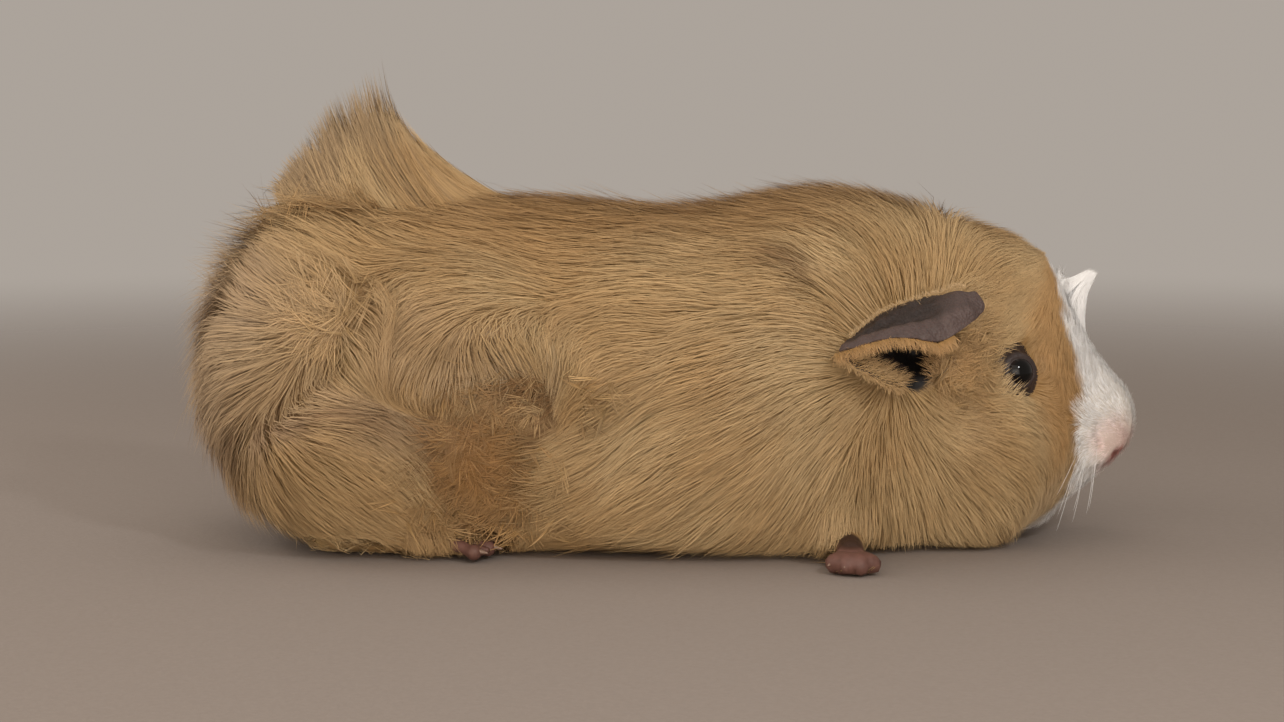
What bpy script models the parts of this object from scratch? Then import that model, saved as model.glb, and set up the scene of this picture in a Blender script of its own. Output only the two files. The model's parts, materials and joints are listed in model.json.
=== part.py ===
"""A still, life-size model of a rosette-coated guinea pig that lies on its belly.

Run it with  blender --background --python part.py  or from Blender's text editor.

Frame: +X runs from rump to nose, +Y is the animal's left, +Z is up. The origin is on the
floor, under the middle of the model. All sizes below are in millimetres.

The body is modelled whole, as a loft through rings with rounder volumes at the limbs and
cheeks, which one voxel remesh fuses. It is then parted by thin cuts into the regions that
a keeper would name. Paws with their claws, ears, eyes and standing tufts are solids of
their own.
"""

import math

import bpy
import bmesh
from mathutils import Matrix, Vector

MM = 0.001

# ---------------------------------------------------------------- driving dimensions

FLESH_VOXEL = 2.0  # size of the remesh that fuses the body
FLESH_SMOOTHING = 14  # rounds of smoothing that blend one volume into the next
FLESH_TRIANGLES = 1500  # the whole body, before it is parted

CUT_GAP = 0.3  # clear space between neighbouring solids
# The gap round a part that is sunk in the coat, and the room's share of its triangles.
EAR_ROOM = (0.5, 1.0)
EYE_ROOM = (0.5, 0.5)
PAW_ROOM = (1.0, 0.8)
REACH = 300.0  # a size that is larger than the whole animal

EYE_RADIUS = 6.0
EYE_CENTRE = (83.4, 20.6, 44.6)  # left eye; the right one mirrors it
EYE_SEGMENTS = 16

EAR_SHEET = 1.2  # thickness of the ear's sheet

PAW_VOXEL = 0.7
PAW_SMOOTHING = 2
PAW_TRIANGLES = 170
CLAW_SIDES = 6
CLAW_RINGS = 2
CLAW_ROOT = 1.0  # how far a claw starts inside its toe

SIDES = {"left": 1.0, "right": -1.0}
ROOM = "_room"  # ends the name of a cutter that leaves clear space round a part

# The trunk, neck and head are one loft through these rings, from the rump to the nose.
# Each ring is (x, underside z, top z, half width, z of the widest line). Its upper and
# lower halves are superellipses, and the lower one is squarer, as the belly lies flat.
BODY_RINGS = {
    "rump_end": (-115.0, 28, 56, 13, 42),
    "rump_back": (-110, 18.5, 69, 26, 40),
    "rump": (-98, 5.5, 80.5, 39, 36),
    "hips": (-80, 0, 85.5, 44, 32),
    "loin": (-58, -2, 88.5, 41, 36),
    "waist": (-38, -2, 88, 40, 36),
    "belly": (-10, -2, 85, 48, 33),
    "ribs": (10, -2, 84.5, 48.5, 33),
    "shoulders": (30, -2, 88, 45, 33),
    "nape": (46, -1, 88, 40, 35),
    "neck": (60, 0, 84.5, 35.5, 35),
    "crown": (72, 0.5, 80.5, 31, 35),
    "eyes": (83, 2.5, 76, 25.5, 34),
    "brow": (92, 5.5, 70.5, 20.5, 33),
    "stop": (98, 9.5, 62, 17, 31),
    "bridge": (104, 14, 49, 13.5, 29.5),
    "muzzle": (110.5, 19.5, 41, 11, 29),
    "nose": (115, 23, 35.5, 7.5, 29),
}
RING_POINTS = 40
RINGS_PER_SPAN = 3
UPPER_SQUARENESS = 2.15
LOWER_SQUARENESS = 3.8

# Each volume is (centre x, y, z), (radius x, y, z), pitch in degrees: nose down is positive.
# It is given for the left side and is made on both sides.
PAIRED_VOLUMES = {
    "hip": ((-50, 23, 55), (38, 21, 20), 5),
    "thigh": ((-78, 23, 25), (30, 24, 25), 10),
    "knee": ((-57, 22, 14), (18, 18, 14), 10),
    "upper_foreleg": ((32, 27, 21), (20, 18, 22), 0),
    "jowl": ((69, 17, 22), (23, 18, 24), 0),
    "cheek": ((82, 11, 25), (18, 13.5, 19), 0),
}

# The standing tuft over the rump, ring by ring: (z, centre x, half length, half width).
RUMP_TUFT_RINGS = (
    (74, -74, 22, 16),
    (86, -72.5, 23, 16),
    (94, -74.7, 16.5, 12),
    (102, -75.7, 10.8, 8.5),
    (109, -74.5, 6.5, 5.5),
    (114.5, -73, 3, 2.8),
)
TUFT_POINTS = 12

# The lock that curls off the forehead, as balls: (x, z, radius).
FORELOCK_BALLS = (
    (95.5, 57.0, 4.6),
    (98.8, 58.0, 3.9),
    (101.5, 60.0, 2.8),
    (103.2, 62.4, 1.8),
    (104.2, 64.6, 1.1),
)
FORELOCK_TRIANGLES = 90

# The left ear's cage. Each column runs from the root, under the coat, out to the free rim.
# The columns go from the notch below the ear canal, round the back tip and along the rolled
# upper margin to the front lobe.
EAR_COLUMNS = {
    "notch": ((53, 26, 40), (52.5, 32, 40.5), (52.5, 35, 41), (52, 38, 41.5)),
    "lower_back": ((47, 27, 42.5), (44.5, 34, 43.5), (42.8, 39, 45), (42, 43, 46.5)),
    "back_tip": ((46, 27, 48), (42, 35, 48.5), (39, 41, 49.5), (37, 46, 49.8)),
    "near_back": ((46, 27, 53), (44.5, 36, 54), (45, 44, 55), (44.9, 48.5, 53.5)),
    "roll_back": ((50, 27, 58), (49.5, 36, 56.5), (50.3, 46, 57), (50.3, 49.5, 53.8)),
    "roll_mid": ((55, 27, 61), (55, 36.5, 58), (55.2, 46, 58), (56, 49, 53)),
    "roll_front": ((60.5, 27, 61.5), (60.5, 36.5, 60), (59.5, 45, 58), (59.6, 48.5, 53.2)),
    "lobe": ((65, 27, 58), (65.6, 36, 62.5), (65, 42, 62), (63.5, 46, 56.5)),
    "lobe_tip": ((67, 27, 53), (69.5, 33, 57.5), (70.5, 38.5, 61.5), (68.5, 43, 60)),
}

# The left paws: the middle of the wrist or heel, of the palm, and of each toe's tip.
FOREPAW_WRIST = (40.0, 33.0, 8.0)
FOREPAW_PALM = (40.5, 45.0, 4.4)
FOREPAW_TOES = ((35.6, 50.8, 1.7), (38.8, 53.2, 1.8), (42.3, 53.4, 1.8), (45.5, 51.3, 1.7))
HINDPAW_HEEL = (-86.0, 30.0, 3.6)
HINDPAW_PALM = (-58.0, 31.0, 3.8)
HINDPAW_TOES = ((-46.4, 27.2, 2.0), (-44.0, 31.4, 2.1), (-46.4, 35.6, 2.0))
FORECLAW = (4.6, 0.9)  # length past the toe's tip, and root radius
HINDCLAW = (6.0, 1.1)

# Regions that are parted from the body, in this order; the trunk is what is left.
# A block is (low corner, high corner, turn in degrees, turning point); a ball is
# (centre, radii, pitch). Balls are given for the left side.
JAW_BLOCK = ((84, -REACH, -REACH), (REACH, REACH, 14), -20, (84, 0, 14))
NOSE_BLOCK = ((108.5, -REACH, -REACH), (REACH, REACH, REACH), 0, (0, 0, 0))
HEAD_BLOCK = ((37, -REACH, -REACH), (REACH, REACH, REACH), -6, (37, 0, 45))
NECK_BLOCK = ((23, -REACH, -REACH), (REACH, REACH, REACH), -5, (23, 0, 45))
CHEST_BLOCK = ((-8, -REACH, -REACH), (REACH, REACH, REACH), 0, (0, 0, 0))
RUMP_BLOCK = ((-REACH, -REACH, -REACH), (-44, REACH, REACH), 0, (0, 0, 0))
THIGH_BALL = ((-77, 42, 18), (33, 26, 31), 12)
FORELEG_BALL = ((35, 44, 8), (19, 24, 24), 0)
REGION_SEGMENTS = 14
FLAT_ANGLE = 1.0  # degrees between faces that count as one


# ---------------------------------------------------------------- small helpers


def mm(x, y, z):
    """A point in metres from millimetres."""
    return Vector((x, y, z)) * MM


def on_side(point, side):
    """A point of the left side, or its mirror image on the right."""
    x, y, z = point
    return (x, y * SIDES[side], z)


def finish(name):
    """One Principled material for each kind of surface."""
    looks = {
        "buff_coat": ((0.50, 0.31, 0.14), 0.75),
        "white_coat": ((0.80, 0.75, 0.68), 0.75),
        "pink_skin": ((0.62, 0.36, 0.32), 0.55),
        "brown_skin": ((0.15, 0.08, 0.06), 0.60),
        "eye": ((0.02, 0.01, 0.01), 0.05),
    }
    material = bpy.data.materials.get(name)
    if material is None:
        colour, roughness = looks[name]
        material = bpy.data.materials.new(name)
        material.use_nodes = True
        surface = material.node_tree.nodes["Principled BSDF"]
        surface.inputs["Base Color"].default_value = (*colour, 1)
        surface.inputs["Roughness"].default_value = roughness
        surface.inputs["Metallic"].default_value = 0
    return material


def as_object(name, bm, collection, material=None):
    """A new object with this bmesh, which is freed."""
    bmesh.ops.recalc_face_normals(bm, faces=bm.faces)
    mesh = bpy.data.meshes.new(name)
    bm.to_mesh(mesh)
    bm.free()
    obj = bpy.data.objects.new(name, mesh)
    collection.objects.link(obj)
    if material:
        mesh.materials.append(finish(material))
    return obj


def add_ball(bm, centre, radii, pitch=0.0, segments=28):
    """An ellipsoid, turned about the side-to-side axis by its pitch."""
    turn = Matrix.Rotation(math.radians(pitch), 4, "Y")
    size = Matrix.Diagonal((*(Vector(radii) * MM), 1))
    place = Matrix.Translation(mm(*centre)) @ turn @ size
    bmesh.ops.create_uvsphere(
        bm, u_segments=segments, v_segments=segments // 2, radius=1, matrix=place
    )


def add_link(bm, start, end, start_radius, end_radius, balls=7):
    """A row of overlapping balls from one point to another, as a limb or a toe."""
    for step in range(balls):
        share = step / (balls - 1)
        radius = start_radius + (end_radius - start_radius) * share
        centre = Vector(start).lerp(Vector(end), share)
        add_ball(bm, centre, (radius, radius, radius), segments=16)


def bridge_loops(bm, loops, closed=True):
    """Faces between each loop of vertices and the next."""
    for near, far in zip(loops, loops[1:]):
        count = len(near) if closed else len(near) - 1
        for k in range(count):
            following = (k + 1) % len(near)
            bm.faces.new((near[k], near[following], far[following], far[k]))


def cap_loop(bm, loop, pole):
    """A fan of faces from a loop of vertices to one point."""
    top = bm.verts.new(pole)
    for k in range(len(loop)):
        bm.faces.new((loop[k], loop[(k + 1) % len(loop)], top))


def apply_modifiers(obj):
    """Bakes the object's modifiers into its own mesh."""
    graph = bpy.context.evaluated_depsgraph_get()
    mesh = bpy.data.meshes.new_from_object(obj.evaluated_get(graph), depsgraph=graph)
    obj.modifiers.clear()
    obj.data = mesh
    return obj


def fuse(obj, voxel, smoothing, triangles):
    """Fuses overlapping closed shells into one skin of about this many triangles."""
    remesh = obj.modifiers.new("fuse", "REMESH")
    remesh.mode = "VOXEL"
    remesh.voxel_size = voxel * MM
    smooth = obj.modifiers.new("blend", "SMOOTH")
    smooth.factor = 0.5
    smooth.iterations = smoothing
    apply_modifiers(obj)
    thin = obj.modifiers.new("thin", "DECIMATE")
    thin.ratio = min(1.0, triangles / (2 * len(obj.data.polygons)))
    thin.use_collapse_triangulate = True
    return apply_modifiers(obj)


def combine(obj, cutter, operation):
    """Joins, cuts or intersects an object with a closed cutter."""
    modifier = obj.modifiers.new(operation.lower(), "BOOLEAN")
    modifier.operation = operation
    modifier.solver = "EXACT"
    modifier.object = cutter
    return apply_modifiers(obj)


def make_room(obj, gap=CUT_GAP, detail=1.0):
    """A cutter a thin gap larger than the object, which is later cut from the body.

    A room with less detail than its object has a wider gap, as its faces cut corners.
    """
    bm = bmesh.new()
    bm.from_mesh(obj.data)
    room = as_object(obj.name + ROOM, bm, bpy.data.collections["cutters"])
    plain = room.modifiers.new("plain", "DECIMATE")
    plain.ratio = detail
    apply_modifiers(room)
    bm = bmesh.new()
    bm.from_mesh(room.data)
    bm.normal_update()
    for vertex in bm.verts:
        vertex.co += vertex.normal * gap * MM
    bm.to_mesh(room.data)
    bm.free()
    return room


def block(name, low, high, cutters, turn=0.0, about=(0, 0, 0)):
    """A box between two corners, turned about the side-to-side axis at a point."""
    low, high = mm(*low), mm(*high)
    bm = bmesh.new()
    bmesh.ops.create_cube(bm, size=1)
    pivot = Matrix.Translation(mm(*about))
    rotation = Matrix.Rotation(math.radians(turn), 4, "Y")
    place = Matrix.Translation((low + high) / 2) @ Matrix.Diagonal((*(high - low), 1))
    bm.transform(pivot @ rotation @ pivot.inverted() @ place)
    return as_object(name, bm, cutters)


# ---------------------------------------------------------------- the body, whole


def ring_at(share):
    """The ring's five numbers at a place along the body, from 0 at the rump to 1 at the nose."""
    rings = list(BODY_RINGS.values())
    place = share * (len(rings) - 1)
    span = min(int(place), len(rings) - 2)
    t = place - span
    before, start = rings[max(span - 1, 0)], rings[span]
    end, after = rings[span + 1], rings[min(span + 2, len(rings) - 1)]
    return [
        b + 0.5 * t * (c - a + t * (2 * a - 5 * b + 4 * c - d + t * (3 * (b - c) + d - a)))
        for a, b, c, d in zip(before, start, end, after)
    ]


def ring_point(ring, angle):
    """A point on a ring, at an angle from its widest point on the left."""
    x, low, high, half_width, widest = ring
    across, up = math.cos(angle), math.sin(angle)
    power = 2 / (UPPER_SQUARENESS if up > 0 else LOWER_SQUARENESS)
    reach = high - widest if up > 0 else widest - low
    y = math.copysign(abs(across) ** power, across) * half_width
    return mm(x, y, widest + math.copysign(abs(up) ** power, up) * reach)


def add_loft(bm):
    """The closed tube through every ring, with a point at each end."""
    count = RINGS_PER_SPAN * (len(BODY_RINGS) - 1)
    rings = [ring_at(step / count) for step in range(count + 1)]
    turn = 2 * math.pi / RING_POINTS
    loops = [
        [bm.verts.new(ring_point(ring, turn * k)) for k in range(RING_POINTS)]
        for ring in rings
    ]
    bridge_loops(bm, loops)
    for loop, ring, outward in ((loops[0], rings[0], -1), (loops[-1], rings[-1], 1)):
        x, low, high, _, widest = ring
        cap_loop(bm, loop, mm(x + outward * 0.12 * (high - low), 0, widest))


def body_whole(cutters):
    """The trunk, neck and head, as far as the tips of the coat, flat on the floor."""
    bm = bmesh.new()
    add_loft(bm)
    for centre, radii, pitch in PAIRED_VOLUMES.values():
        for side in SIDES:
            add_ball(bm, on_side(centre, side), radii, pitch)
    body = as_object("body", bm, cutters)
    fuse(body, FLESH_VOXEL, FLESH_SMOOTHING, FLESH_TRIANGLES)
    return combine(body, bpy.data.objects["floor"], "DIFFERENCE")


# ---------------------------------------------------------------- parts that stand on it


def eye(side, collection):
    """The eyeball, which the coat and the lids hide all but the front of."""
    bm = bmesh.new()
    add_ball(bm, on_side(EYE_CENTRE, side), (EYE_RADIUS,) * 3, segments=EYE_SEGMENTS)
    make_room(as_object(f"eye_{side}", bm, collection, "eye"), *EYE_ROOM)


def ear(side, collection):
    """A folded petal of thin skin, rolled over the ear canal."""
    bm = bmesh.new()
    columns = [
        [bm.verts.new(mm(*on_side(point, side))) for point in column]
        for column in EAR_COLUMNS.values()
    ]
    bridge_loops(bm, columns, closed=False)
    obj = as_object(f"ear_{side}", bm, collection, "brown_skin")
    soft = obj.modifiers.new("soft", "SUBSURF")
    soft.levels = soft.render_levels = 1
    sheet = obj.modifiers.new("sheet", "SOLIDIFY")
    sheet.thickness = EAR_SHEET * MM
    sheet.offset = 0
    make_room(apply_modifiers(obj), *EAR_ROOM)


def paw(name, links, collection):
    """A paw of linked balls, fused, with its pads flat on the floor."""
    bm = bmesh.new()
    for start, end, start_radius, end_radius in links:
        add_link(bm, start, end, start_radius, end_radius)
    obj = as_object(name, bm, collection, "pink_skin")
    fuse(obj, PAW_VOXEL, PAW_SMOOTHING, PAW_TRIANGLES)
    make_room(obj, *PAW_ROOM)
    return combine(obj, bpy.data.objects["floor"], "DIFFERENCE")


def forepaw(side, collection):
    """The wrist, the palm and four short toes that point outwards."""
    wrist, palm = on_side(FOREPAW_WRIST, side), on_side(FOREPAW_PALM, side)
    links = [(wrist, palm, 6.2, 5.0)]
    links += [(palm, on_side(tip, side), 2.8, 1.7) for tip in FOREPAW_TOES]
    return paw(f"forefoot_{side}", links, collection)


def hindpaw(side, collection):
    """The long sole from the heel, and three toes that point forwards."""
    heel, palm = on_side(HINDPAW_HEEL, side), on_side(HINDPAW_PALM, side)
    links = [(heel, palm, 4.4, 4.6)]
    links += [(palm, on_side(tip, side), 3.0, 2.0) for tip in HINDPAW_TOES]
    return paw(f"hindfoot_{side}", links, collection)


def claw(name, root, tip, radius, cutters):
    """A horn cone that droops towards its tip."""
    root, tip = Vector(root), Vector(tip)
    lie = (tip - root).to_track_quat("Z", "Y").to_matrix()
    droop = Vector((0, 0, 0.12)) * (tip - root).length
    bm = bmesh.new()
    loops = []
    for step in range(CLAW_RINGS):
        share = step / CLAW_RINGS
        centre = root.lerp(tip, share) + droop * math.sin(math.pi * share)
        loop = []
        for k in range(CLAW_SIDES):
            angle = 2 * math.pi * k / CLAW_SIDES
            spoke = Vector((math.cos(angle), math.sin(angle), 0)) * radius * (1 - 0.7 * share)
            loop.append(bm.verts.new(mm(*(centre + lie @ spoke))))
        loops.append(loop)
    bridge_loops(bm, loops)
    cap_loop(bm, loops[0], mm(*root))
    cap_loop(bm, loops[-1], mm(*tip))
    return as_object(name, bm, cutters)


def add_claws(foot, palm, toes, length, radius, side, cutters):
    """Joins one claw to each toe of a foot, with its root sunk in the toe's end."""
    for number, toe in enumerate(toes, start=1):
        toe_tip = Vector(on_side(toe, side))
        outward = toe_tip - Vector(on_side(palm, side))
        outward.z = 0
        outward.normalize()
        root = toe_tip - outward * CLAW_ROOT + Vector((0, 0, 0.5))
        tip = toe_tip + outward * length + Vector((0, 0, -0.9))
        horn = claw(f"claw_{foot.name}_{number}", root, tip, radius, cutters)
        make_room(horn)
        combine(foot, horn, "UNION")


def rump_tuft(collection):
    """The crest where the coats of both sides meet and stand up over the rump."""
    bm = bmesh.new()
    turn = 2 * math.pi / TUFT_POINTS
    loops = [
        [
            bm.verts.new(mm(x + math.cos(turn * k) * long, math.sin(turn * k) * wide, z))
            for k in range(TUFT_POINTS)
        ]
        for z, x, long, wide in RUMP_TUFT_RINGS
    ]
    bridge_loops(bm, loops)
    low, high = RUMP_TUFT_RINGS[0], RUMP_TUFT_RINGS[-1]
    cap_loop(bm, loops[0], mm(low[1], 0, low[0]))
    cap_loop(bm, loops[-1], mm(high[1], 0, high[0] + 3))
    make_room(as_object("rump_tuft", bm, collection, "buff_coat"))


def forelock(collection):
    """The white lock that curls up off the forehead."""
    bm = bmesh.new()
    for (x, z, radius), (next_x, next_z, next_radius) in zip(
        FORELOCK_BALLS, FORELOCK_BALLS[1:]
    ):
        add_link(bm, (x, 0, z), (next_x, 0, next_z), radius, next_radius)
    obj = as_object("forelock", bm, collection, "white_coat")
    fuse(obj, PAW_VOXEL, PAW_SMOOTHING, FORELOCK_TRIANGLES)
    make_room(obj, *PAW_ROOM)


# ---------------------------------------------------------------- parting the body


def merge_flat_faces(obj):
    """Merges the slivers that the cuts leave in otherwise flat places."""
    flat = obj.modifiers.new("flat", "DECIMATE")
    flat.decimate_type = "DISSOLVE"
    flat.angle_limit = math.radians(FLAT_ANGLE)
    apply_modifiers(obj)


def take(body, name, make_region, collection, material="buff_coat"):
    """Moves one region of the body to an object of its own, a thin gap away from the rest."""
    piece = bpy.data.objects.new(name, body.data.copy())
    collection.objects.link(piece)
    combine(piece, make_region(f"{name}_region", 0.0), "INTERSECT")
    combine(body, make_region(f"{name}_gap", CUT_GAP), "DIFFERENCE")
    merge_flat_faces(piece)
    piece.data.materials.clear()
    piece.data.materials.append(finish(material))


def block_region(shape, cutters):
    """A maker of this block, larger all round by a gap."""
    low, high, turn, about = shape

    def make(name, gap):
        lower = [value - gap for value in low]
        upper = [value + gap for value in high]
        return block(name, lower, upper, cutters, turn, about)

    return make


def ball_region(shape, side, cutters):
    """A maker of this ellipsoid on one side, larger all round by a gap."""
    centre, radii, pitch = shape

    def make(name, gap):
        bm = bmesh.new()
        room = [radius + gap for radius in radii]
        add_ball(bm, on_side(centre, side), room, pitch, REGION_SEGMENTS)
        return as_object(name, bm, cutters)

    return make


def part_body(body, collection, cutters):
    """Parts the body into its named regions."""
    take(body, "lower_jaw", block_region(JAW_BLOCK, cutters), collection, "white_coat")
    take(body, "nose", block_region(NOSE_BLOCK, cutters), collection, "white_coat")
    for side in SIDES:
        take(body, f"thigh_{side}", ball_region(THIGH_BALL, side, cutters), collection)
    for side in SIDES:
        take(body, f"foreleg_{side}", ball_region(FORELEG_BALL, side, cutters), collection)
    take(body, "head", block_region(HEAD_BLOCK, cutters), collection)
    take(body, "neck", block_region(NECK_BLOCK, cutters), collection)
    take(body, "chest", block_region(CHEST_BLOCK, cutters), collection)
    take(body, "rump", block_region(RUMP_BLOCK, cutters), collection)
    body.name = "trunk"
    cutters.objects.unlink(body)
    collection.objects.link(body)
    body.data.materials.clear()
    body.data.materials.append(finish("buff_coat"))
    merge_flat_faces(body)


# ---------------------------------------------------------------- the whole animal


def centre_on_origin(objects):
    """Slides every mesh along the floor, so that the model's box is centred on the origin."""
    places = [vertex.co for obj in objects for vertex in obj.data.vertices]
    middle = [(min(p[axis] for p in places) + max(p[axis] for p in places)) / 2 for axis in (0, 1)]
    shift = Matrix.Translation((-middle[0], -middle[1], 0))
    for obj in objects:
        obj.data.transform(shift)


def main():
    """Builds every named part in a collection of its own."""
    for obj in list(bpy.data.objects):
        bpy.data.objects.remove(obj)
    animal = bpy.data.collections.new("guinea_pig")
    cutters = bpy.data.collections.new("cutters")
    for collection in (animal, cutters):
        bpy.context.scene.collection.children.link(collection)

    block("floor", (-REACH, -REACH, -REACH), (REACH, REACH, 0), cutters)
    body = body_whole(cutters)

    rump_tuft(animal)
    forelock(animal)
    for side in SIDES:
        eye(side, animal)
        ear(side, animal)
        forefoot, hindfoot = forepaw(side, animal), hindpaw(side, animal)
        add_claws(forefoot, FOREPAW_PALM, FOREPAW_TOES, *FORECLAW, side, cutters)
        add_claws(hindfoot, HINDPAW_PALM, HINDPAW_TOES, *HINDCLAW, side, cutters)
    for obj in list(cutters.objects):
        if obj.name.endswith(ROOM):
            combine(body, obj, "DIFFERENCE")
    part_body(body, animal, cutters)
    centre_on_origin(list(animal.objects))

    for obj in animal.objects:
        obj.data.shade_smooth()
        obj.data.set_sharp_from_angle(angle=math.radians(40))
    for obj in cutters.objects:
        obj.hide_render = True
        obj.display_type = "WIRE"


main()
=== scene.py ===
# %% [markdown]
# # A guinea pig, as a still life-size model
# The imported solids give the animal's outline out to the tips of its coat. This lesson dresses
# them: one skin inside them, eyes, lids, ears, paws and claws, and then the fur, hair by hair.

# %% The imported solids
import json
import math
import bmesh
import bpy
import numpy as np
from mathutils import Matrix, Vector
from mathutils.bvhtree import BVHTree
from mathutils.kdtree import KDTree

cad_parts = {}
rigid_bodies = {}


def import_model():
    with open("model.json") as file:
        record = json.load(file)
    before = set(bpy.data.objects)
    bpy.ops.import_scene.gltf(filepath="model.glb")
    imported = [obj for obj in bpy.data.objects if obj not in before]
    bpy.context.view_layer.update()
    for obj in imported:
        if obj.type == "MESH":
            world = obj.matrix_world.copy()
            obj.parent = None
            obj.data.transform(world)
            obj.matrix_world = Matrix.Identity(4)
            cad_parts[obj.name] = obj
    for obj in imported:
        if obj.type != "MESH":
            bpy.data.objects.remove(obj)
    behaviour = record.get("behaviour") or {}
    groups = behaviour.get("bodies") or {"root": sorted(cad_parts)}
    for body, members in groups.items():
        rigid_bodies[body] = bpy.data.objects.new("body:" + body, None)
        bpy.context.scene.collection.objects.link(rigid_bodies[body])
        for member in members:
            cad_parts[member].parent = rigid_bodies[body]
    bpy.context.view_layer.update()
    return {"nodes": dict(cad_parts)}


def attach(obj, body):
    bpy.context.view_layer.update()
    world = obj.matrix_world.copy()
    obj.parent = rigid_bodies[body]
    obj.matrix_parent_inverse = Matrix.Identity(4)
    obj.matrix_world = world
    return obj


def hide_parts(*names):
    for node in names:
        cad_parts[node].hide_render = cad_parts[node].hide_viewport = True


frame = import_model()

MM = 0.001


def triangles_in(objects):
    return sum(len(face.vertices) - 2 for obj in objects if obj.type == "MESH" for face in obj.data.polygons)


print("nodes:", sorted(frame["nodes"]))

# %% [markdown]
# ## The camera
# A long lens from half a metre keeps the animal's proportions true. The camera stands at its
# right side, a few degrees above its back, and looks at the middle of the body.

# %% Camera
AIM = Vector((-6.85, 0, 43.5)) * MM
CAMERA_RISE = math.radians(6)
CAMERA_DISTANCE = 550 * MM
HALF_VIEW = 160.5 * MM
away = Vector((0, -math.cos(CAMERA_RISE), math.sin(CAMERA_RISE)))
bpy.ops.object.camera_add(location=AIM + away * CAMERA_DISTANCE)
camera = bpy.context.object
camera.rotation_euler = (-away).to_track_quat("-Z", "Y").to_euler()
camera.data.sensor_width = 36
camera.data.lens = 18 / (HALF_VIEW / CAMERA_DISTANCE)
camera.data.clip_start = 10 * MM
bpy.context.scene.camera = camera
bpy.context.scene.view_settings.view_transform = "Standard"
print("lens", round(camera.data.lens, 1), "mm")

# %% [markdown]
# ## Two small helpers
# Operators act on whatever is selected, so `only` selects a single object first. Colours are
# written as a paint shop would, in sRGB hex, and `tint` turns them into the linear light that
# shaders work in.

# %% Selecting, colours and nodes
def only(obj):
    bpy.ops.object.select_all(action="DESELECT")
    obj.select_set(True)
    bpy.context.view_layer.objects.active = obj
    return obj


def tint(hex_colour):
    parts = [int(hex_colour[i:i + 2], 16) / 255 for i in (1, 3, 5)]
    return tuple(c / 12.92 if c <= 0.04045 else ((c + 0.055) / 1.055) ** 2.4 for c in parts) + (1.0,)


def add_node(tree, kind, settings=None, inputs=None):
    """Adds a node. Settings are its own properties; an input is a value or another node's output."""
    node = tree.nodes.new(kind)
    for name, value in (settings or {}).items():
        setattr(node, name, value)
    for name, value in (inputs or {}).items():
        socket = node.inputs[name]
        if isinstance(value, bpy.types.NodeSocket):
            tree.links.new(value, socket)
        else:
            socket.default_value = value
    return node


def new_material(name):
    """An empty material with its output and a Principled shader joined to it."""
    material = bpy.data.materials.new(name)
    material.use_nodes = True
    tree = material.node_tree
    tree.nodes.clear()
    shader = add_node(tree, "ShaderNodeBsdfPrincipled")
    add_node(tree, "ShaderNodeOutputMaterial", inputs={"Surface": shader.outputs["BSDF"]})
    return material, tree, shader


# %% [markdown]
# ## Floor and light
# Such a model is shown on a pale sheet under large soft lamps. The floor is a wide plain disc
# that fades out far behind the animal, so the sheet seems to curve up into the pale wall. One
# large warm lamp stands in front and above and another low, a small one gives the eyes their
# glint, pale ones light the back from above and the rump from behind, and the room does the rest.

# %% Floor
bpy.ops.object.select_all(action="DESELECT")
bpy.ops.mesh.primitive_circle_add(vertices=96, radius=4.0, fill_type="NGON", location=(0, 0, -0.0004))
floor = bpy.context.object
floor.name = "floor"
floor.data.transform(floor.matrix_world)
floor.matrix_world.identity()
# Brushed cotton sheet: matt, pale, warm grey, with a faint nap.
cotton, tree, shader = new_material("brushed_cotton_sheet")
place = add_node(tree, "ShaderNodeTexCoord").outputs["Object"]
nap = add_node(tree, "ShaderNodeTexNoise", inputs={"Vector": place, "Scale": 900.0, "Detail": 4.0})
shade = add_node(tree, "ShaderNodeMix", {"data_type": "RGBA"}, {
    "Factor": nap.outputs["Fac"], 6: tint("#948981"), 7: tint("#9E938B")})
bump = add_node(tree, "ShaderNodeBump", inputs={
    "Strength": 0.25, "Distance": 0.4 * MM, "Height": nap.outputs["Fac"]})
tree.links.new(shade.outputs[2], shader.inputs["Base Color"])
tree.links.new(bump.outputs["Normal"], shader.inputs["Normal"])
shader.inputs["Roughness"].default_value = 0.95
shader.inputs["Specular IOR Level"].default_value = 0.2
far = add_node(tree, "ShaderNodeVectorMath", {"operation": "LENGTH"}, {0: place})
fade = add_node(tree, "ShaderNodeMapRange", {"interpolation_type": "SMOOTHSTEP"}, {
    "Value": far.outputs["Value"], "From Min": 0.22, "From Max": 1.1})
seen = add_node(tree, "ShaderNodeMixShader", inputs={
    0: fade.outputs[0], 1: shader.outputs["BSDF"], 2: add_node(tree, "ShaderNodeBsdfTransparent").outputs[0]})
tree.links.new(seen.outputs[0], tree.nodes["Material Output"].inputs["Surface"])
floor.data.materials.append(cotton)

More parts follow.
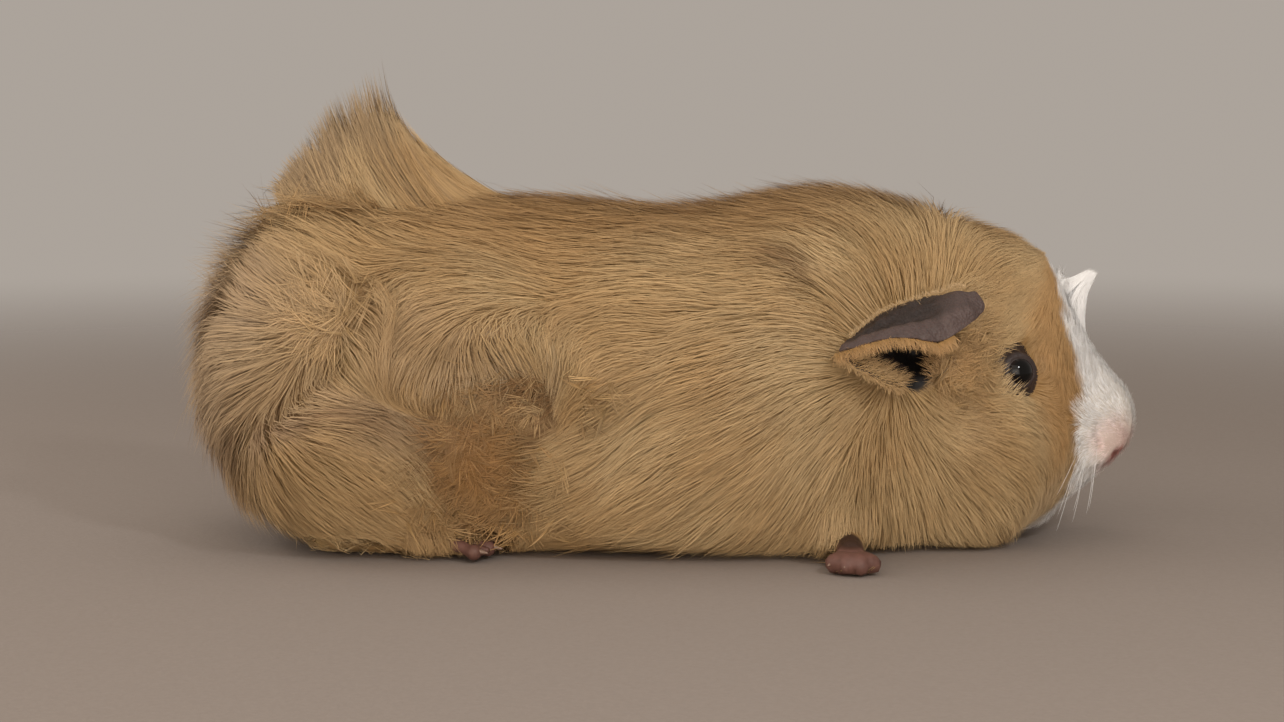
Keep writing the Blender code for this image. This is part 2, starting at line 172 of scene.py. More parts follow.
# %% Lamps and room
ROOM_COLOUR = "#CFC5BB"
LAMPS = [  # place in mm, size in mm, watts, colour
    ("key", (-160, -720, 330), 900, 2.3, "#FFF2E2"),
    ("low", (60, -820, 40), 700, 2.5, "#FFF4E8"),
    ("glint", (270, -470, 395), 55, 0.75, "#FFFFFF"),
    ("top", (-40, 80, 700), 520, 0.45, "#FFF8EE"),
    ("rim", (-620, -40, 380), 420, 1.4, "#F6F2EE"),
]
world = bpy.data.worlds.new("pale_room")
bpy.context.scene.world = world
world.use_nodes = True
world.node_tree.nodes["Background"].inputs["Color"].default_value = tint(ROOM_COLOUR)
world.node_tree.nodes["Background"].inputs["Strength"].default_value = 0.66
for name, spot, size, watts, colour in LAMPS:
    spot = Vector(spot) * MM
    bpy.ops.object.light_add(type="AREA", location=spot)
    lamp = bpy.context.object
    lamp.name = "lamp_" + name
    lamp.rotation_euler = (AIM - spot).to_track_quat("-Z", "Y").to_euler()
    lamp.data.size = size * MM
    lamp.data.energy = watts
    lamp.data.color = tint(colour)[:3]
print("lamps:", [name for name, *_ in LAMPS])

# %% [markdown]
# ## The whole body in one piece
# The solids are parted with thin cuts, which a real animal doesn't have. Copies of the flesh
# solids are swollen by a hair's breadth so that they overlap, joined, and remeshed with voxels,
# which melts them into one closed surface. It is the coat's outer form: the skin and the
# hair are both measured from it.

# %% One outer form
FORM_VOXEL = 1.15
SWELL = 0.3
HAIR_ONLY = ("rump_tuft", "forelock")
NOT_FLESH = ("ear_left", "ear_right", "eye_left", "eye_right") + HAIR_ONLY
CREST_FOOT = 83.0
PLUGS = [  # middle and radii in mm, left side; they close gaps and round out the eyes, chin and forelock
    ((56, 28, 52), (13, 9, 9)), ((41, 34, 8), (7, 7, 6.5)), ((-66, 31, 6), (22, 6, 5.2)),
    ((97.5, 0, 48), (6.0, 8, 6.5)), ((77.1, 17.2, 40.8), (12, 10, 12)),
    ((88.0, 0, 12.4), (11.6, 15, 11.6)), ((97.2, 0, 20.6), (11.2, 11, 11.2)),
]
flesh = sorted(n for n in frame["nodes"] if n not in NOT_FLESH)


def use_modifier(obj, kind, **settings):
    only(obj)
    modifier = obj.modifiers.new(kind.lower(), kind)
    for name, value in settings.items():
        setattr(modifier, name, value)
    bpy.ops.object.modifier_apply(modifier=modifier.name)


def copy_of(node):
    obj = bpy.data.objects.new("copy_" + node, frame["nodes"][node].data.copy())
    obj.data.materials.clear()
    bpy.context.scene.collection.objects.link(obj)
    only(obj)
    bpy.ops.object.mode_set(mode="EDIT")
    bpy.ops.mesh.select_all(action="SELECT")
    bpy.ops.mesh.remove_doubles(threshold=1e-6)
    bpy.ops.object.mode_set(mode="OBJECT")
    return obj


def ball_at(centre, radii, detail=3):
    bpy.ops.object.select_all(action="DESELECT")
    bpy.ops.mesh.primitive_ico_sphere_add(subdivisions=detail, radius=1.0)
    obj = bpy.context.object
    for axis in range(3):
        obj.scale[axis] = radii[axis] * MM
    obj.location = Vector(centre) * MM
    bpy.ops.object.transform_apply(location=True, rotation=True, scale=True)
    return obj


def join(objects, name):
    bpy.ops.object.select_all(action="DESELECT")
    for obj in objects:
        obj.select_set(True)
    bpy.context.view_layer.objects.active = objects[0]
    bpy.ops.object.join()
    objects[0].name = name
    objects[0].data.name = name
    return objects[0]


parts = []
for node in flesh + ["rump_tuft"]:
    part = copy_of(node)
    if node == "rump_tuft":  # only its foot, which fills the socket that it stands in
        only(part)
        bpy.ops.object.mode_set(mode="EDIT")
        bpy.ops.mesh.select_all(action="SELECT")
        bpy.ops.mesh.bisect(plane_co=(0, 0, CREST_FOOT * MM), plane_no=(0, 0, 1), use_fill=True, clear_outer=True)
        bpy.ops.object.mode_set(mode="OBJECT")
    use_modifier(part, "DISPLACE", strength=SWELL * MM, mid_level=0.0)
    parts.append(part)
for (x, y, z), radii in PLUGS:
    parts.append(ball_at((x, y, z), radii))
    parts.append(ball_at((x, -y, z), radii))
form = join(parts, "form")
use_modifier(form, "REMESH", mode="VOXEL", voxel_size=FORM_VOXEL * MM)
print("outer form:", len(form.data.polygons), "faces")


# %% [markdown]
# The remesh can leave small closed bubbles inside, where two solids met. Only the largest
# island is kept.

# %% Keep the outer shell
def keep_largest(obj):
    mesh = bmesh.new()
    mesh.from_mesh(obj.data)
    mesh.verts.ensure_lookup_table()
    seen, best = set(), []
    for start in mesh.verts:
        if start.index in seen:
            continue
        seen.add(start.index)
        island, queue = [start], [start]
        while queue:
            vert = queue.pop()
            for edge in vert.link_edges:
                other = edge.other_vert(vert)
                if other.index not in seen:
                    seen.add(other.index)
                    island.append(other)
                    queue.append(other)
        if len(island) > len(best):
            best = island
    keep = set(best)
    bmesh.ops.delete(mesh, geom=[v for v in mesh.verts if v not in keep], context="VERTS")
    mesh.to_mesh(obj.data)
    mesh.free()


def select_faces(obj, chosen):
    only(obj)
    bpy.ops.object.mode_set(mode="EDIT")
    bpy.ops.mesh.select_mode(type="FACE")
    bpy.ops.mesh.select_all(action="DESELECT")
    bpy.ops.object.mode_set(mode="OBJECT")
    for face in obj.data.polygons:
        if chosen(face.center / MM):
            face.select = True
    bpy.ops.object.mode_set(mode="EDIT")


keep_largest(form)
use_modifier(form, "SMOOTH", factor=0.5, iterations=4)
# The lip of the crest's socket is melted away; the crest's own hair covers the place.
select_faces(form, lambda p: -66 < p.x < -32 and p.z > 78 and abs(p.y) < 22)
bpy.ops.mesh.vertices_smooth(factor=0.5, repeat=160)
bpy.ops.object.mode_set(mode="OBJECT")
print("outer form kept:", len(form.data.vertices), "points")

# %% [markdown]
# ## Folds of the body
# Loose skin and long hair make a live animal's side anything but smooth: a wave of coat rolls
# over the hip, the flank behind it is hollow, and creases run before the thigh, over the rump
# and behind the shoulder. Each is drawn on the form as a line of spots seen from the side; the
# points near the line sink or swell along their normals, most at its middle.

# %% Folds of the body
def coords(mesh):
    found = np.empty(len(mesh.vertices) * 3)
    mesh.vertices.foreach_get("co", found)
    return found.reshape(-1, 3) / MM


def set_coords(mesh, points):
    mesh.vertices.foreach_set("co", (points * MM).ravel())
    mesh.update()


def normals_of(mesh):
    found = np.empty(len(mesh.vertices) * 3)
    mesh.vertex_normals.foreach_get("vector", found)
    return found.reshape(-1, 3)


def on_left(points):
    """The same places on the left side: the animal's sides mirror each other."""
    return points * [1, 0, 1] + np.abs(points) * [0, 1, 0]


def tree_of(mesh):
    return BVHTree.FromPolygons([Vector(p) for p in coords(mesh)], [tuple(f.vertices) for f in mesh.polygons])


def from_side(tree, x, z):
    """The place seen from the side at this spot, on the left side, in mm."""
    hit = tree.ray_cast(Vector((x, -200, z)), Vector((0, 1, 0)))[0] or tree.find_nearest(Vector((x, -8, z)))[0]
    return np.array([hit.x, abs(hit.y), hit.z])


def fold(points, line, reach, depth):
    """How far points sink near a line of places."""
    best = np.full(len(points), 1e9)
    for a, b in zip(line[:-1], line[1:]):
        span = b - a
        t = np.clip(((points - a) @ span) / (span @ span), 0, 1)
        best = np.minimum(best, ((points - a - t[:, None] * span) ** 2).sum(1))
    return depth * np.exp(-best / (2 * reach ** 2))


def press_folds(obj, folds):
    tree = tree_of(obj.data)
    points = coords(obj.data)
    sunk = np.zeros(len(points))
    for name, line, reach, depth in folds:
        sunk += fold(on_left(points), np.array([from_side(tree, x, z) for x, z in line]), reach, depth)
    set_coords(obj.data, points - normals_of(obj.data) * sunk[:, None])


BODY_FOLDS = [  # name, line of (along, height) spots, reach, depth in mm; less than 0 swells
    ("rump_corner", [(-99, 79), (-106, 72)], 5.0, 3.6),
    ("hip_ridge", [(-50, 52.5), (-36, 52), (-25, 49), (-20, 43.5)], 3.8, -2.0),
    ("hip_swell", [(-70, 47), (-58, 43.5), (-48, 42)], 3.8, -1.6),
    ("under_ridge", [(-42, 44.8), (-31, 43.5), (-26, 38), (-23, 32)], 3.4, 2.4),
    ("under_hip", [(-67, 38.6), (-58, 36.2), (-50, 35)], 2.9, 2.4),
    ("flank_hollow", [(-40, 34), (-39, 25), (-42, 15)], 7.0, 3.6),
    ("thigh_front", [(-57, 33), (-53.5, 21), (-46, 11)], 2.6, 2.8),
    ("thigh_round", [(-74, 26), (-64, 20), (-60, 12)], 6.0, -1.8),
    ("rump_crease", [(-82, 43.5), (-93, 36), (-101, 31)], 2.8, 3.2),
    ("rump_puff", [(-96, 50), (-104, 44)], 6.0, -1.2),
    ("flank_edge", [(-19, 34), (-22, 24), (-24, 10)], 4.6, -1.2),
    ("shoulder_crease", [(-1, 53), (-7, 39), (-17, 22)], 3.2, 2.0),
    ("neck_parting", [(33, 70), (39, 64), (44, 58)], 2.6, 2.6),
    ("jaw_crease", [(52, 30), (50, 18), (49, 8)], 3.0, 1.2),
]
press_folds(form, BODY_FOLDS)
print("folds of the body:", [name for name, *_ in BODY_FOLDS])

# %% [markdown]
# ## The combing chart
# A groomer's chart of the coat. Each row is a spot on the animal's side, seen from its right:
# how far along and how high it is, which way the hair lies there, its length in mm, and how much
# it stands off. Between spots the coat is blended, and the left side mirrors the right. The
# cheek hair turns about a parting under the ear, the crown fans up and forward from the ear, the
# back lies towards the tail and sweeps up into a crest, and the rump and hip have whorls.

# %% Chart rows
COMB = [  # x, z, along, up, length, standing
    # blaze and muzzle
    (113, 38, -0.6, 0.8, 2.6, 0.00), (108, 46, -0.6, 0.8, 3.2, 0.00), (101, 53, -0.35, 0.9, 4.0, 0.00),
    (97, 60, 0.4, 0.7, 4.0, 0.00), (113, 28, -0.9, 0.1, 1.8, 0.00), (106, 30, -0.9, 0.1, 2.4, 0.00),
    (107, 20, -0.9, -0.3, 2.0, 0.00), (99, 34, -0.5, 0.4, 3.6, 0.00), (100, 14, -0.8, -0.6, 3.0, 0.00),
    (99, 42, -0.4, 0.8, 3.6, 0.00), (93, 20, -0.4, -0.9, 4.5, 0.00),
    # brow, eye and crown
    (93, 52, -0.1, 1.0, 4.5, 0.00), (92, 62, 0.6, 0.6, 6.5, 0.00), (88, 36, 0.6, -0.3, 4.5, 0.00),
    (84, 54, 0.6, 0.5, 5.0, 0.00), (84, 64, 0.9, 0.25, 8.0, 0.02), (76, 68, 0.75, 0.6, 11, 0.05),
    (76, 54, 0.8, 0.2, 6.0, 0.00), (68, 66, 0.45, 0.9, 14, 0.08), (66, 74, 0.2, 1.0, 15, 0.12),
    (58, 64, 0.1, 1.0, 15, 0.06), (56, 74, -0.5, 0.85, 17, 0.08), (49, 64, -0.45, 0.8, 17, 0.03),
    (75, 42, 0.7, 0.45, 4.5, 0.04), (70, 48, 0.3, 0.2, 4.5, 0.10), (68, 40, 0.4, -0.3, 5.0, 0.06),
    # cheek
    (62, 39, 0.85, -0.5, 9.0, 0.00), (72, 34, 1.0, -0.1, 10, 0.00), (82, 29, 1.0, -0.3, 10, 0.00),
    (91, 31, 0.8, -0.5, 6.0, 0.00), (88, 22, 0.8, -0.7, 11, 0.00), (78, 20, 0.75, -0.65, 13, 0.00),
    (68, 26, 0.75, -0.6, 13, 0.00), (62, 18, 0.4, -0.9, 15, 0.00), (74, 10, 0.45, -0.85, 15, 0.02),
    (86, 10, 0.4, -0.9, 13, 0.03), (55, 34, 0.1, -1.0, 12, 0.00), (54, 20, 0.05, -1.0, 16, 0.00),
    (54, 9, 0.1, -1.0, 14, 0.02),
    # behind the ear, shoulder and foreleg
    (44, 56, -0.75, 0.5, 16, 0.00), (36, 62, -1.0, 0.15, 18, 0.00), (40, 46, -1.0, 0.05, 15, 0.00),
    (44, 38, -0.85, -0.5, 15, 0.00), (46, 24, -0.4, -0.9, 17, 0.00), (44, 12, -0.3, -1.0, 14, 0.02),
    (34, 34, -0.8, -0.6, 18, 0.00), (30, 18, -0.6, -0.8, 18, 0.00), (30, 6, -0.5, -0.8, 15, 0.02),
    (38, 74, -1.0, 0.3, 18, 0.05), (46, 82, -0.9, 0.4, 17, 0.14), (30, 83, -1.0, 0.3, 17, 0.10),
    # back and flank
    (20, 72, -1.0, 0.0, 20, 0.00), (20, 55, -1.0, -0.1, 20, 0.00), (16, 42, -0.9, -0.4, 21, 0.00),
    (12, 24, -0.8, -0.6, 21, 0.00), (12, 8, -0.7, -0.6, 17, 0.00), (0, 80, -1.0, 0.05, 21, 0.00),
    (0, 62, -1.0, -0.05, 22, 0.00), (0, 46, -0.95, -0.3, 22, 0.00), (-4, 28, -0.75, -0.65, 22, 0.00),
    (-6, 8, -0.85, -0.4, 18, 0.00), (-20, 78, -1.0, 0.05, 22, 0.00), (-20, 60, -1.0, -0.05, 22, 0.00),
    (-12, 38, -0.85, -0.5, 20, 0.02), (-12, 12, -0.8, -0.5, 19, 0.02),
    (-38, 78, -1.0, 0.15, 22, 0.00), (-38, 64, -1.0, 0.0, 20, 0.00), (-46, 60, -1.0, 0.05, 18, 0.02),
    (-12, 48, -0.9, -0.35, 20, 0.00),
    # hip whorl and flank hollow
    (-44, 53, 1.0, -0.1, 15, 0.06), (-36, 51, 0.9, -0.4, 14, 0.06), (-30, 47.5, 0.6, -0.8, 12, 0.06),
    (-26, 42, 0.1, -1.0, 9.0, 0.05), (-48, 47, 0.1, -1.0, 12, 0.05), (-55, 46, -0.5, -0.85, 14, 0.05),
    (-60, 49, -0.75, -0.65, 15, 0.04), (-66, 45, -0.6, -0.75, 14, 0.05), (-60, 55, -1.0, -0.05, 16, 0.04),
    (-42, 34, -0.9, -0.2, 8.5, 0.08), (-33, 30, -1.0, -0.1, 9.0, 0.08), (-52, 34, 0.3, -0.9, 8.0, 0.10),
    (-44, 24, -0.8, 0.1, 8.0, 0.12), (-46, 14, 0.3, 0.4, 9.0, 0.14), (-36, 14, -0.7, 0.2, 9.0, 0.12),
    (-22, 36, -0.8, -0.5, 14, 0.08), (-22, 24, -0.85, -0.5, 16, 0.07), (-26, 12, -0.8, -0.5, 15, 0.05),
    (-42, 5, 0.2, -0.7, 8.0, 0.04),
    # croup and rump whorl
    (-46, 84, -0.95, 0.3, 22, 0.02), (-58, 83, -0.85, 0.6, 24, 0.18), (-70, 81, -0.7, 0.9, 23, 0.34),
    (-82, 79, -0.65, 0.9, 20, 0.34), (-56, 74, -1.0, 0.2, 21, 0.00), (-66, 72, -0.95, 0.3, 20, 0.02),
    (-78, 71, -0.85, 0.5, 19, 0.05), (-58, 66, -1.0, 0.0, 18, 0.00), (-88, 72, -0.7, 0.7, 17, 0.14),
    (-72, 64, 0.9, -0.1, 17, 0.08), (-64, 63, 0.95, -0.4, 15, 0.05), (-72, 55, 0.9, -0.4, 14, 0.06),
    (-86, 64, -0.5, 0.85, 17, 0.24), (-80, 58.5, -0.2, -0.2, 16, 0.34),
    (-92, 66, -0.7, 0.7, 18, 0.26), (-103, 62, -0.75, 0.65, 20, 0.36),
    (-104, 68, -0.7, 0.7, 17, 0.30), (-90, 52, -0.95, -0.3, 18, 0.14), (-106, 48, -1.0, -0.05, 20, 0.30),
    (-98, 54, -1.0, 0.1, 20, 0.26), (-111, 50, -1.0, 0.05, 19, 0.30), (-97, 41, -0.8, -0.6, 20, 0.12),
    (-108, 36, -0.6, -0.75, 18, 0.14), (-80, 50, 0.3, -0.8, 15, 0.10), (-82, 40, 0.85, -0.45, 15, 0.03),
    (-72, 39, 0.9, -0.4, 15, 0.02), (-64, 35, 0.85, -0.5, 14, 0.03),
    # thigh
    (-97, 28, 0.8, -0.35, 16, 0.00), (-86, 31, 1.0, -0.15, 17, 0.00), (-74, 30, 0.9, -0.35, 17, 0.00),
    (-64, 27, 0.75, -0.65, 16, 0.00), (-101, 20, 0.2, -0.95, 16, 0.02), (-90, 16, 0.7, -0.7, 17, 0.00),
    (-80, 20, 0.9, -0.45, 18, 0.00), (-70, 18, 0.8, -0.6, 17, 0.00), (-61, 13, 0.7, -0.7, 15, 0.02),
    (-84, 8, 0.7, -0.5, 15, 0.02), (-70, 6, 0.75, -0.6, 14, 0.02), (-57, 20, 0.5, -0.85, 14, 0.04),
    (-98, 9, 0.5, -0.6, 14, 0.02),
]
print(len(COMB), "rows in the chart")


# %% [markdown]
# A chart row has no depth: a straight look from the side finds the spot on the form. Blending is
# by distance, so a spot rules what is within about its own spread.

# %% Reading the chart
SPREAD = 6.5
CHUNK = 40000  # points read at a time, to keep the arrays small
form_tree = tree_of(form.data)
spots = np.array([from_side(form_tree, x, z) for x, z, *_ in COMB])
chart = np.array([(along, 0.0, up, length, stand) for _, _, along, up, length, stand in COMB])


def read_chart(points):
    """Way, length and standing of the coat at points in mm, as an array of five columns."""
    mirrored = on_left(points)
    found = np.empty((len(points), 5))
    for start in range(0, len(points), CHUNK):
        here = mirrored[start:start + CHUNK]
        far = ((here[:, None, :] - spots[None, :, :]) ** 2).sum(2)
        far -= far.min(1, keepdims=True)
        weight = np.exp(-far / (2 * SPREAD ** 2))
        found[start:start + CHUNK] = weight @ chart / weight.sum(1, keepdims=True)
    return found


print("chart at the shoulder:", np.round(read_chart(np.array([[30.0, -40.0, 40.0]])), 2))


# %% [markdown]
# ## The skin
# The skin lies inside the outer form by the coat's depth: hair lies nearly flat, so the depth is
# about a quarter of the hair's length. The form's points move inwards in small steps with
# smoothing between them, so that folds don't cross.

# %% Sink the skin
SKIN_STEPS = 5
DEPTH_SHARE = 0.26
MOST_DEPTH = 6.0


def coat_depth(points):
    read = read_chart(points)
    return np.clip(read[:, 3] * DEPTH_SHARE + read[:, 4] * 14, 0.3, MOST_DEPTH)


skin = bpy.data.objects.new("skin", form.data.copy())
skin.data.name = "skin"
bpy.context.scene.collection.objects.link(skin)
sink = coat_depth(coords(skin.data)) + SWELL
for step in range(SKIN_STEPS):
    points = coords(skin.data)
    set_coords(skin.data, points - normals_of(skin.data) * (sink / SKIN_STEPS)[:, None])
    use_modifier(skin, "SMOOTH", factor=0.5, iterations=3)
print("skin sunk by", round(sink.min(), 2), "to", round(sink.max(), 2), "mm")


# %% [markdown]
# ## Nose, mouth and ear hole
# The remesh left faces of one size everywhere. The muzzle and the ear hole need finer ones, so
# the faces there are selected by their place and subdivided. The folds of nose and mouth are
# pressed in as the body's were, and the ear hole is a dent.

# %% Finer faces where the folds go
EYE_CENTRE = (81.9, 22.1, 43.0)
EAR_HOLE = (57.2, 32.0, 48.6)


def near_spot(point, spot, reach):
    return (point.x - spot[0]) ** 2 + (abs(point.y) - spot[1]) ** 2 + (point.z - spot[2]) ** 2 < reach ** 2


FINE = [  # spot on the left side and reach in mm
    ((108, 6, 25), 17), ((108, 8, 23), 9), (EAR_HOLE, 9),
]
for spot, reach in FINE:
    select_faces(skin, lambda point: near_spot(point, spot, reach))
    bpy.ops.mesh.subdivide(number_cuts=1, smoothness=0.4)
    bpy.ops.object.mode_set(mode="OBJECT")
print("skin after finer faces:", len(skin.data.polygons), "faces")

# %% [markdown]
# Nostril, nose, lip and mouth are pressed into the skin and the pads are swollen out of it, as
# the body's folds are pressed into the outer form. The ear's hole is a deep dimple, and the skin
# is kept just above the floor.

# %% Folds
FOLDS = [  # name, line of (along, height) spots, reach, depth; less than 0 swells
    ("nostril", [(109.6, 22.0), (110.6, 20.9), (111.4, 20.0)], 0.7, 1.1),
    ("nose_wing", [(104.8, 29.0), (104.3, 26.6), (105.2, 23.8)], 0.8, 0.6),
    ("nose_pad", [(107.8, 25.6), (109.0, 24.0)], 2.6, -0.9),
    ("lip", [(99.4, 26.8), (100.6, 25.2), (101.9, 23.6)], 0.8, 0.7),
    ("mouth", [(108.2, 17.6), (105.0, 18.2), (101.5, 17.4), (98.0, 15.0)], 0.7, 0.8),
    ("whisker_pad", [(103.0, 22.5), (104.5, 21.0)], 2.6, -0.5),
]
HOLE_REACH, HOLE_DEPTH = 3.4, 7.0
FLOOR_GAP = 0.03  # the skin never dips below the floor
press_folds(skin, FOLDS)
points = coords(skin.data)
hole = np.exp(-((on_left(points) - EAR_HOLE) ** 2).sum(1) / (2 * HOLE_REACH ** 2)) * HOLE_DEPTH
points[:, 1] -= np.sign(points[:, 1]) * hole
points[:, 2] = np.maximum(points[:, 2], FLOOR_GAP)
set_coords(skin.data, points)
print("folds:", [name for name, *_ in FOLDS])

# %% [markdown]
# ## Feeling for the surface
# Every hair has to know where the skin is below it and which way is out. Asking the mesh for
# each point of each hair would take minutes, so the distance to the surface is measured once on
# a grid of points 2 mm apart and read between them by blending the eight nearest.

# %% Distance grids
GRID_STEP = 2.0
GRID_MARGIN = 14.0
COARSE = 4  # far from the surface every fourth point is enough
NEAR_ENOUGH = 22.0
low = coords(form.data).min(0) - GRID_MARGIN
low[2] = -6.0
high = coords(form.data).max(0) + GRID_MARGIN
counts = np.ceil((high - low) / GRID_STEP).astype(int) + 1
axes = [low[i] + GRID_STEP * np.arange(counts[i]) for i in range(3)]
grid_points = np.stack(np.meshgrid(*axes, indexing="ij"), -1).reshape(-1, 3)


def distance_grid(mesh, points):
    """Signed distance in mm from each grid point to the mesh, less than 0 inside."""
    tree = tree_of(mesh)

    def measure(point):
        here = Vector(point)
        near, normal, _, far = tree.find_nearest(here)
        return -far if (here - near).dot(normal) < 0 else far

    whole = points.reshape(*counts, 3)
    rough = np.array([measure(p) for p in whole[::COARSE, ::COARSE, ::COARSE].reshape(-1, 3)])
    rough = rough.reshape([-(-n // COARSE) for n in counts])
    for axis in range(3):
        rough = np.repeat(rough, COARSE, axis=axis)
    found = rough[:counts[0], :counts[1], :counts[2]].copy()
    nearby = np.abs(found) < NEAR_ENOUGH
    found[nearby] = [measure(p) for p in whole[nearby]]
    return found


def read_grid(grid, points):
    """Trilinear reading of a grid, of one or more columns, at points in mm."""
    place = (points - low) / GRID_STEP
    place = np.clip(place, 0, np.array(counts) - 1.001)
    cell = place.astype(int)
    part = place - cell
    total = 0
    for dx in (0, 1):
        for dy in (0, 1):
            for dz in (0, 1):
                weight = (
                    (part[:, 0] if dx else 1 - part[:, 0])
                    * (part[:, 1] if dy else 1 - part[:, 1])
                    * (part[:, 2] if dz else 1 - part[:, 2]))
                value = grid[cell[:, 0] + dx, cell[:, 1] + dy, cell[:, 2] + dz]
                total = total + (value.T * weight).T
    return total


def unit(vectors):
    return vectors / np.maximum(np.linalg.norm(vectors, axis=-1, keepdims=True), 1e-9)


skin_distance = distance_grid(skin.data, grid_points)
form_distance = distance_grid(form.data, grid_points)
outwards = np.stack(np.gradient(skin_distance, GRID_STEP), -1)
comb_grid = read_chart(grid_points).reshape(*counts, 5)
print("grid of", len(grid_points), "points")

# %% [markdown]
# ## Growing hair
# Each hair is a thin flat blade, rooted in the skin, that follows the chart: it is walked along
# the skin a step at a time and then lifted off it, more for hairs of the upper layer. Hairs
# gather into locks, because every hair leans towards the path of the nearest lock. Whole pieces
# of coat are worked out at once as arrays and written to a mesh in one go.

# %% Roots
rng = np.random.default_rng(20)
GIVE = 1.0


def waviness(points, size, seed):
    """Smooth noise of about -1 to 1 whose bumps are size mm across."""
    turn = np.random.default_rng(seed)
    total = np.zeros(len(points))
    for _ in range(6):
        way = unit(turn.normal(size=3)) * 2 * math.pi / size * turn.uniform(0.6, 1.5)
        total += np.sin(points @ way + turn.uniform(0, 2 * math.pi))
    return total / 2.4


def patch_noise(values, seed):
    """A steady random number from 0 to 1 for each patch number."""
    noise = np.sin(values * 12.9898 + seed) * 43758.5453
    return noise - np.floor(noise)


def strand_noise(points, size=1.0):
    """From -1 to 1, shared by all hairs of a cell of this size, so that they show as one strand."""
    return 2 * patch_noise(np.floor(points / size) @ [1.0, 57.0, 131.0], 0.9) - 1


# %% [markdown]
# A hair is walked in a few equal steps. At each it is dropped back on the skin, asks the chart
# for its way, takes off what would lead it into or out of the skin, and turns by its own bend.

# %% Walking along the skin
def walk(roots, length, steps, bend):
    """Paths over the skin from roots: arrays of places and outward normals, one row a step."""
    here = roots.copy()
    places, normals = [], []
    for step in range(steps + 1):
        out = unit(read_grid(outwards, here))
        here = here - out * read_grid(skin_distance, here)[:, None]
        out = unit(read_grid(outwards, here))
        places.append(here)
        normals.append(out)
        way = read_grid(comb_grid, here)[:, :3] * 1.0
        way[:, 1] += 0.18 * np.sign(here[:, 1]) * np.clip(out[:, 2], 0, 1)
        way -= out * (way * out).sum(1, keepdims=True)
        strong = np.linalg.norm(way, axis=1, keepdims=True)
        down = np.column_stack([0 * here[:, 0], 0.6 * np.sign(here[:, 1]), np.full(len(here), -1.0)])
        down -= out * (down * out).sum(1, keepdims=True)
        ending = np.clip((-93 - here[:, :1]) / 6, 0, 1)  # at the body's end hair falls
        way = unit(way + down * np.clip(0.55 - strong, 0, 1) * ending)
        angle = bend[:, 0] + bend[:, 1] * step / steps  # radians off the chart's way
        way = way * np.cos(angle)[:, None] + np.cross(out, way) * np.sin(angle)[:, None]
        here = here + way * (length / steps)[:, None]
    return np.stack(places, 1), np.stack(normals, 1)


# %% [markdown]
# A path becomes a flat blade: a strip of quads, narrow at the root and widest past its middle,
# that ends in a triangle. It takes far fewer faces than a tube. It shades with the direction of
# the body under it, because light meets a coat of soft hair as one surface.

# %% Blades
def blades_of(paths, normals, widths, roll, tip_share=0.12):
    """Corner points and shading directions of flat blades: two rows of points and a tip each."""
    along = unit(np.gradient(paths, axis=1))
    side = unit(np.cross(along, normals))
    face = np.cross(side, along)
    side = side * np.cos(roll)[:, None, None] + face * np.sin(roll)[:, None, None]
    steps = paths.shape[1] - 1
    t = np.linspace(0, 1, steps + 1)[:-1]
    width = 0.55 + 0.45 * np.sin(np.pi * np.clip(t * 1.3, 0, 1) * 0.5)
    width = width * (1 - (1 - tip_share) * np.clip((t - 0.55) / 0.45, 0, 1) ** 1.5)
    half = widths[:, None] * width[None, :] / 2
    left = paths[:, :-1] - side[:, :-1] * half[:, :, None]
    right = paths[:, :-1] + side[:, :-1] * half[:, :, None]
    rings = np.stack([left, right], 2).reshape(len(paths), -1, 3)
    # Light meets a soft coat as if it met the body under it, so a blade shades with the body's
    # normal, rounded a little from edge to edge.
    soft = unit(normals * 0.9 + face * 0.1)
    soft[:, :, 2] = np.maximum(soft[:, :, 2], -0.12)  # hair that hangs is lit like a side, not a belly
    shading = np.stack([soft[:, :-1] - 0.22 * side[:, :-1], soft[:, :-1] + 0.22 * side[:, :-1]], 2)
    shading = unit(np.concatenate([shading.reshape(len(paths), -1, 3), soft[:, -1:]], 1))
    return np.concatenate([rings, paths[:, -1:]], 1), shading


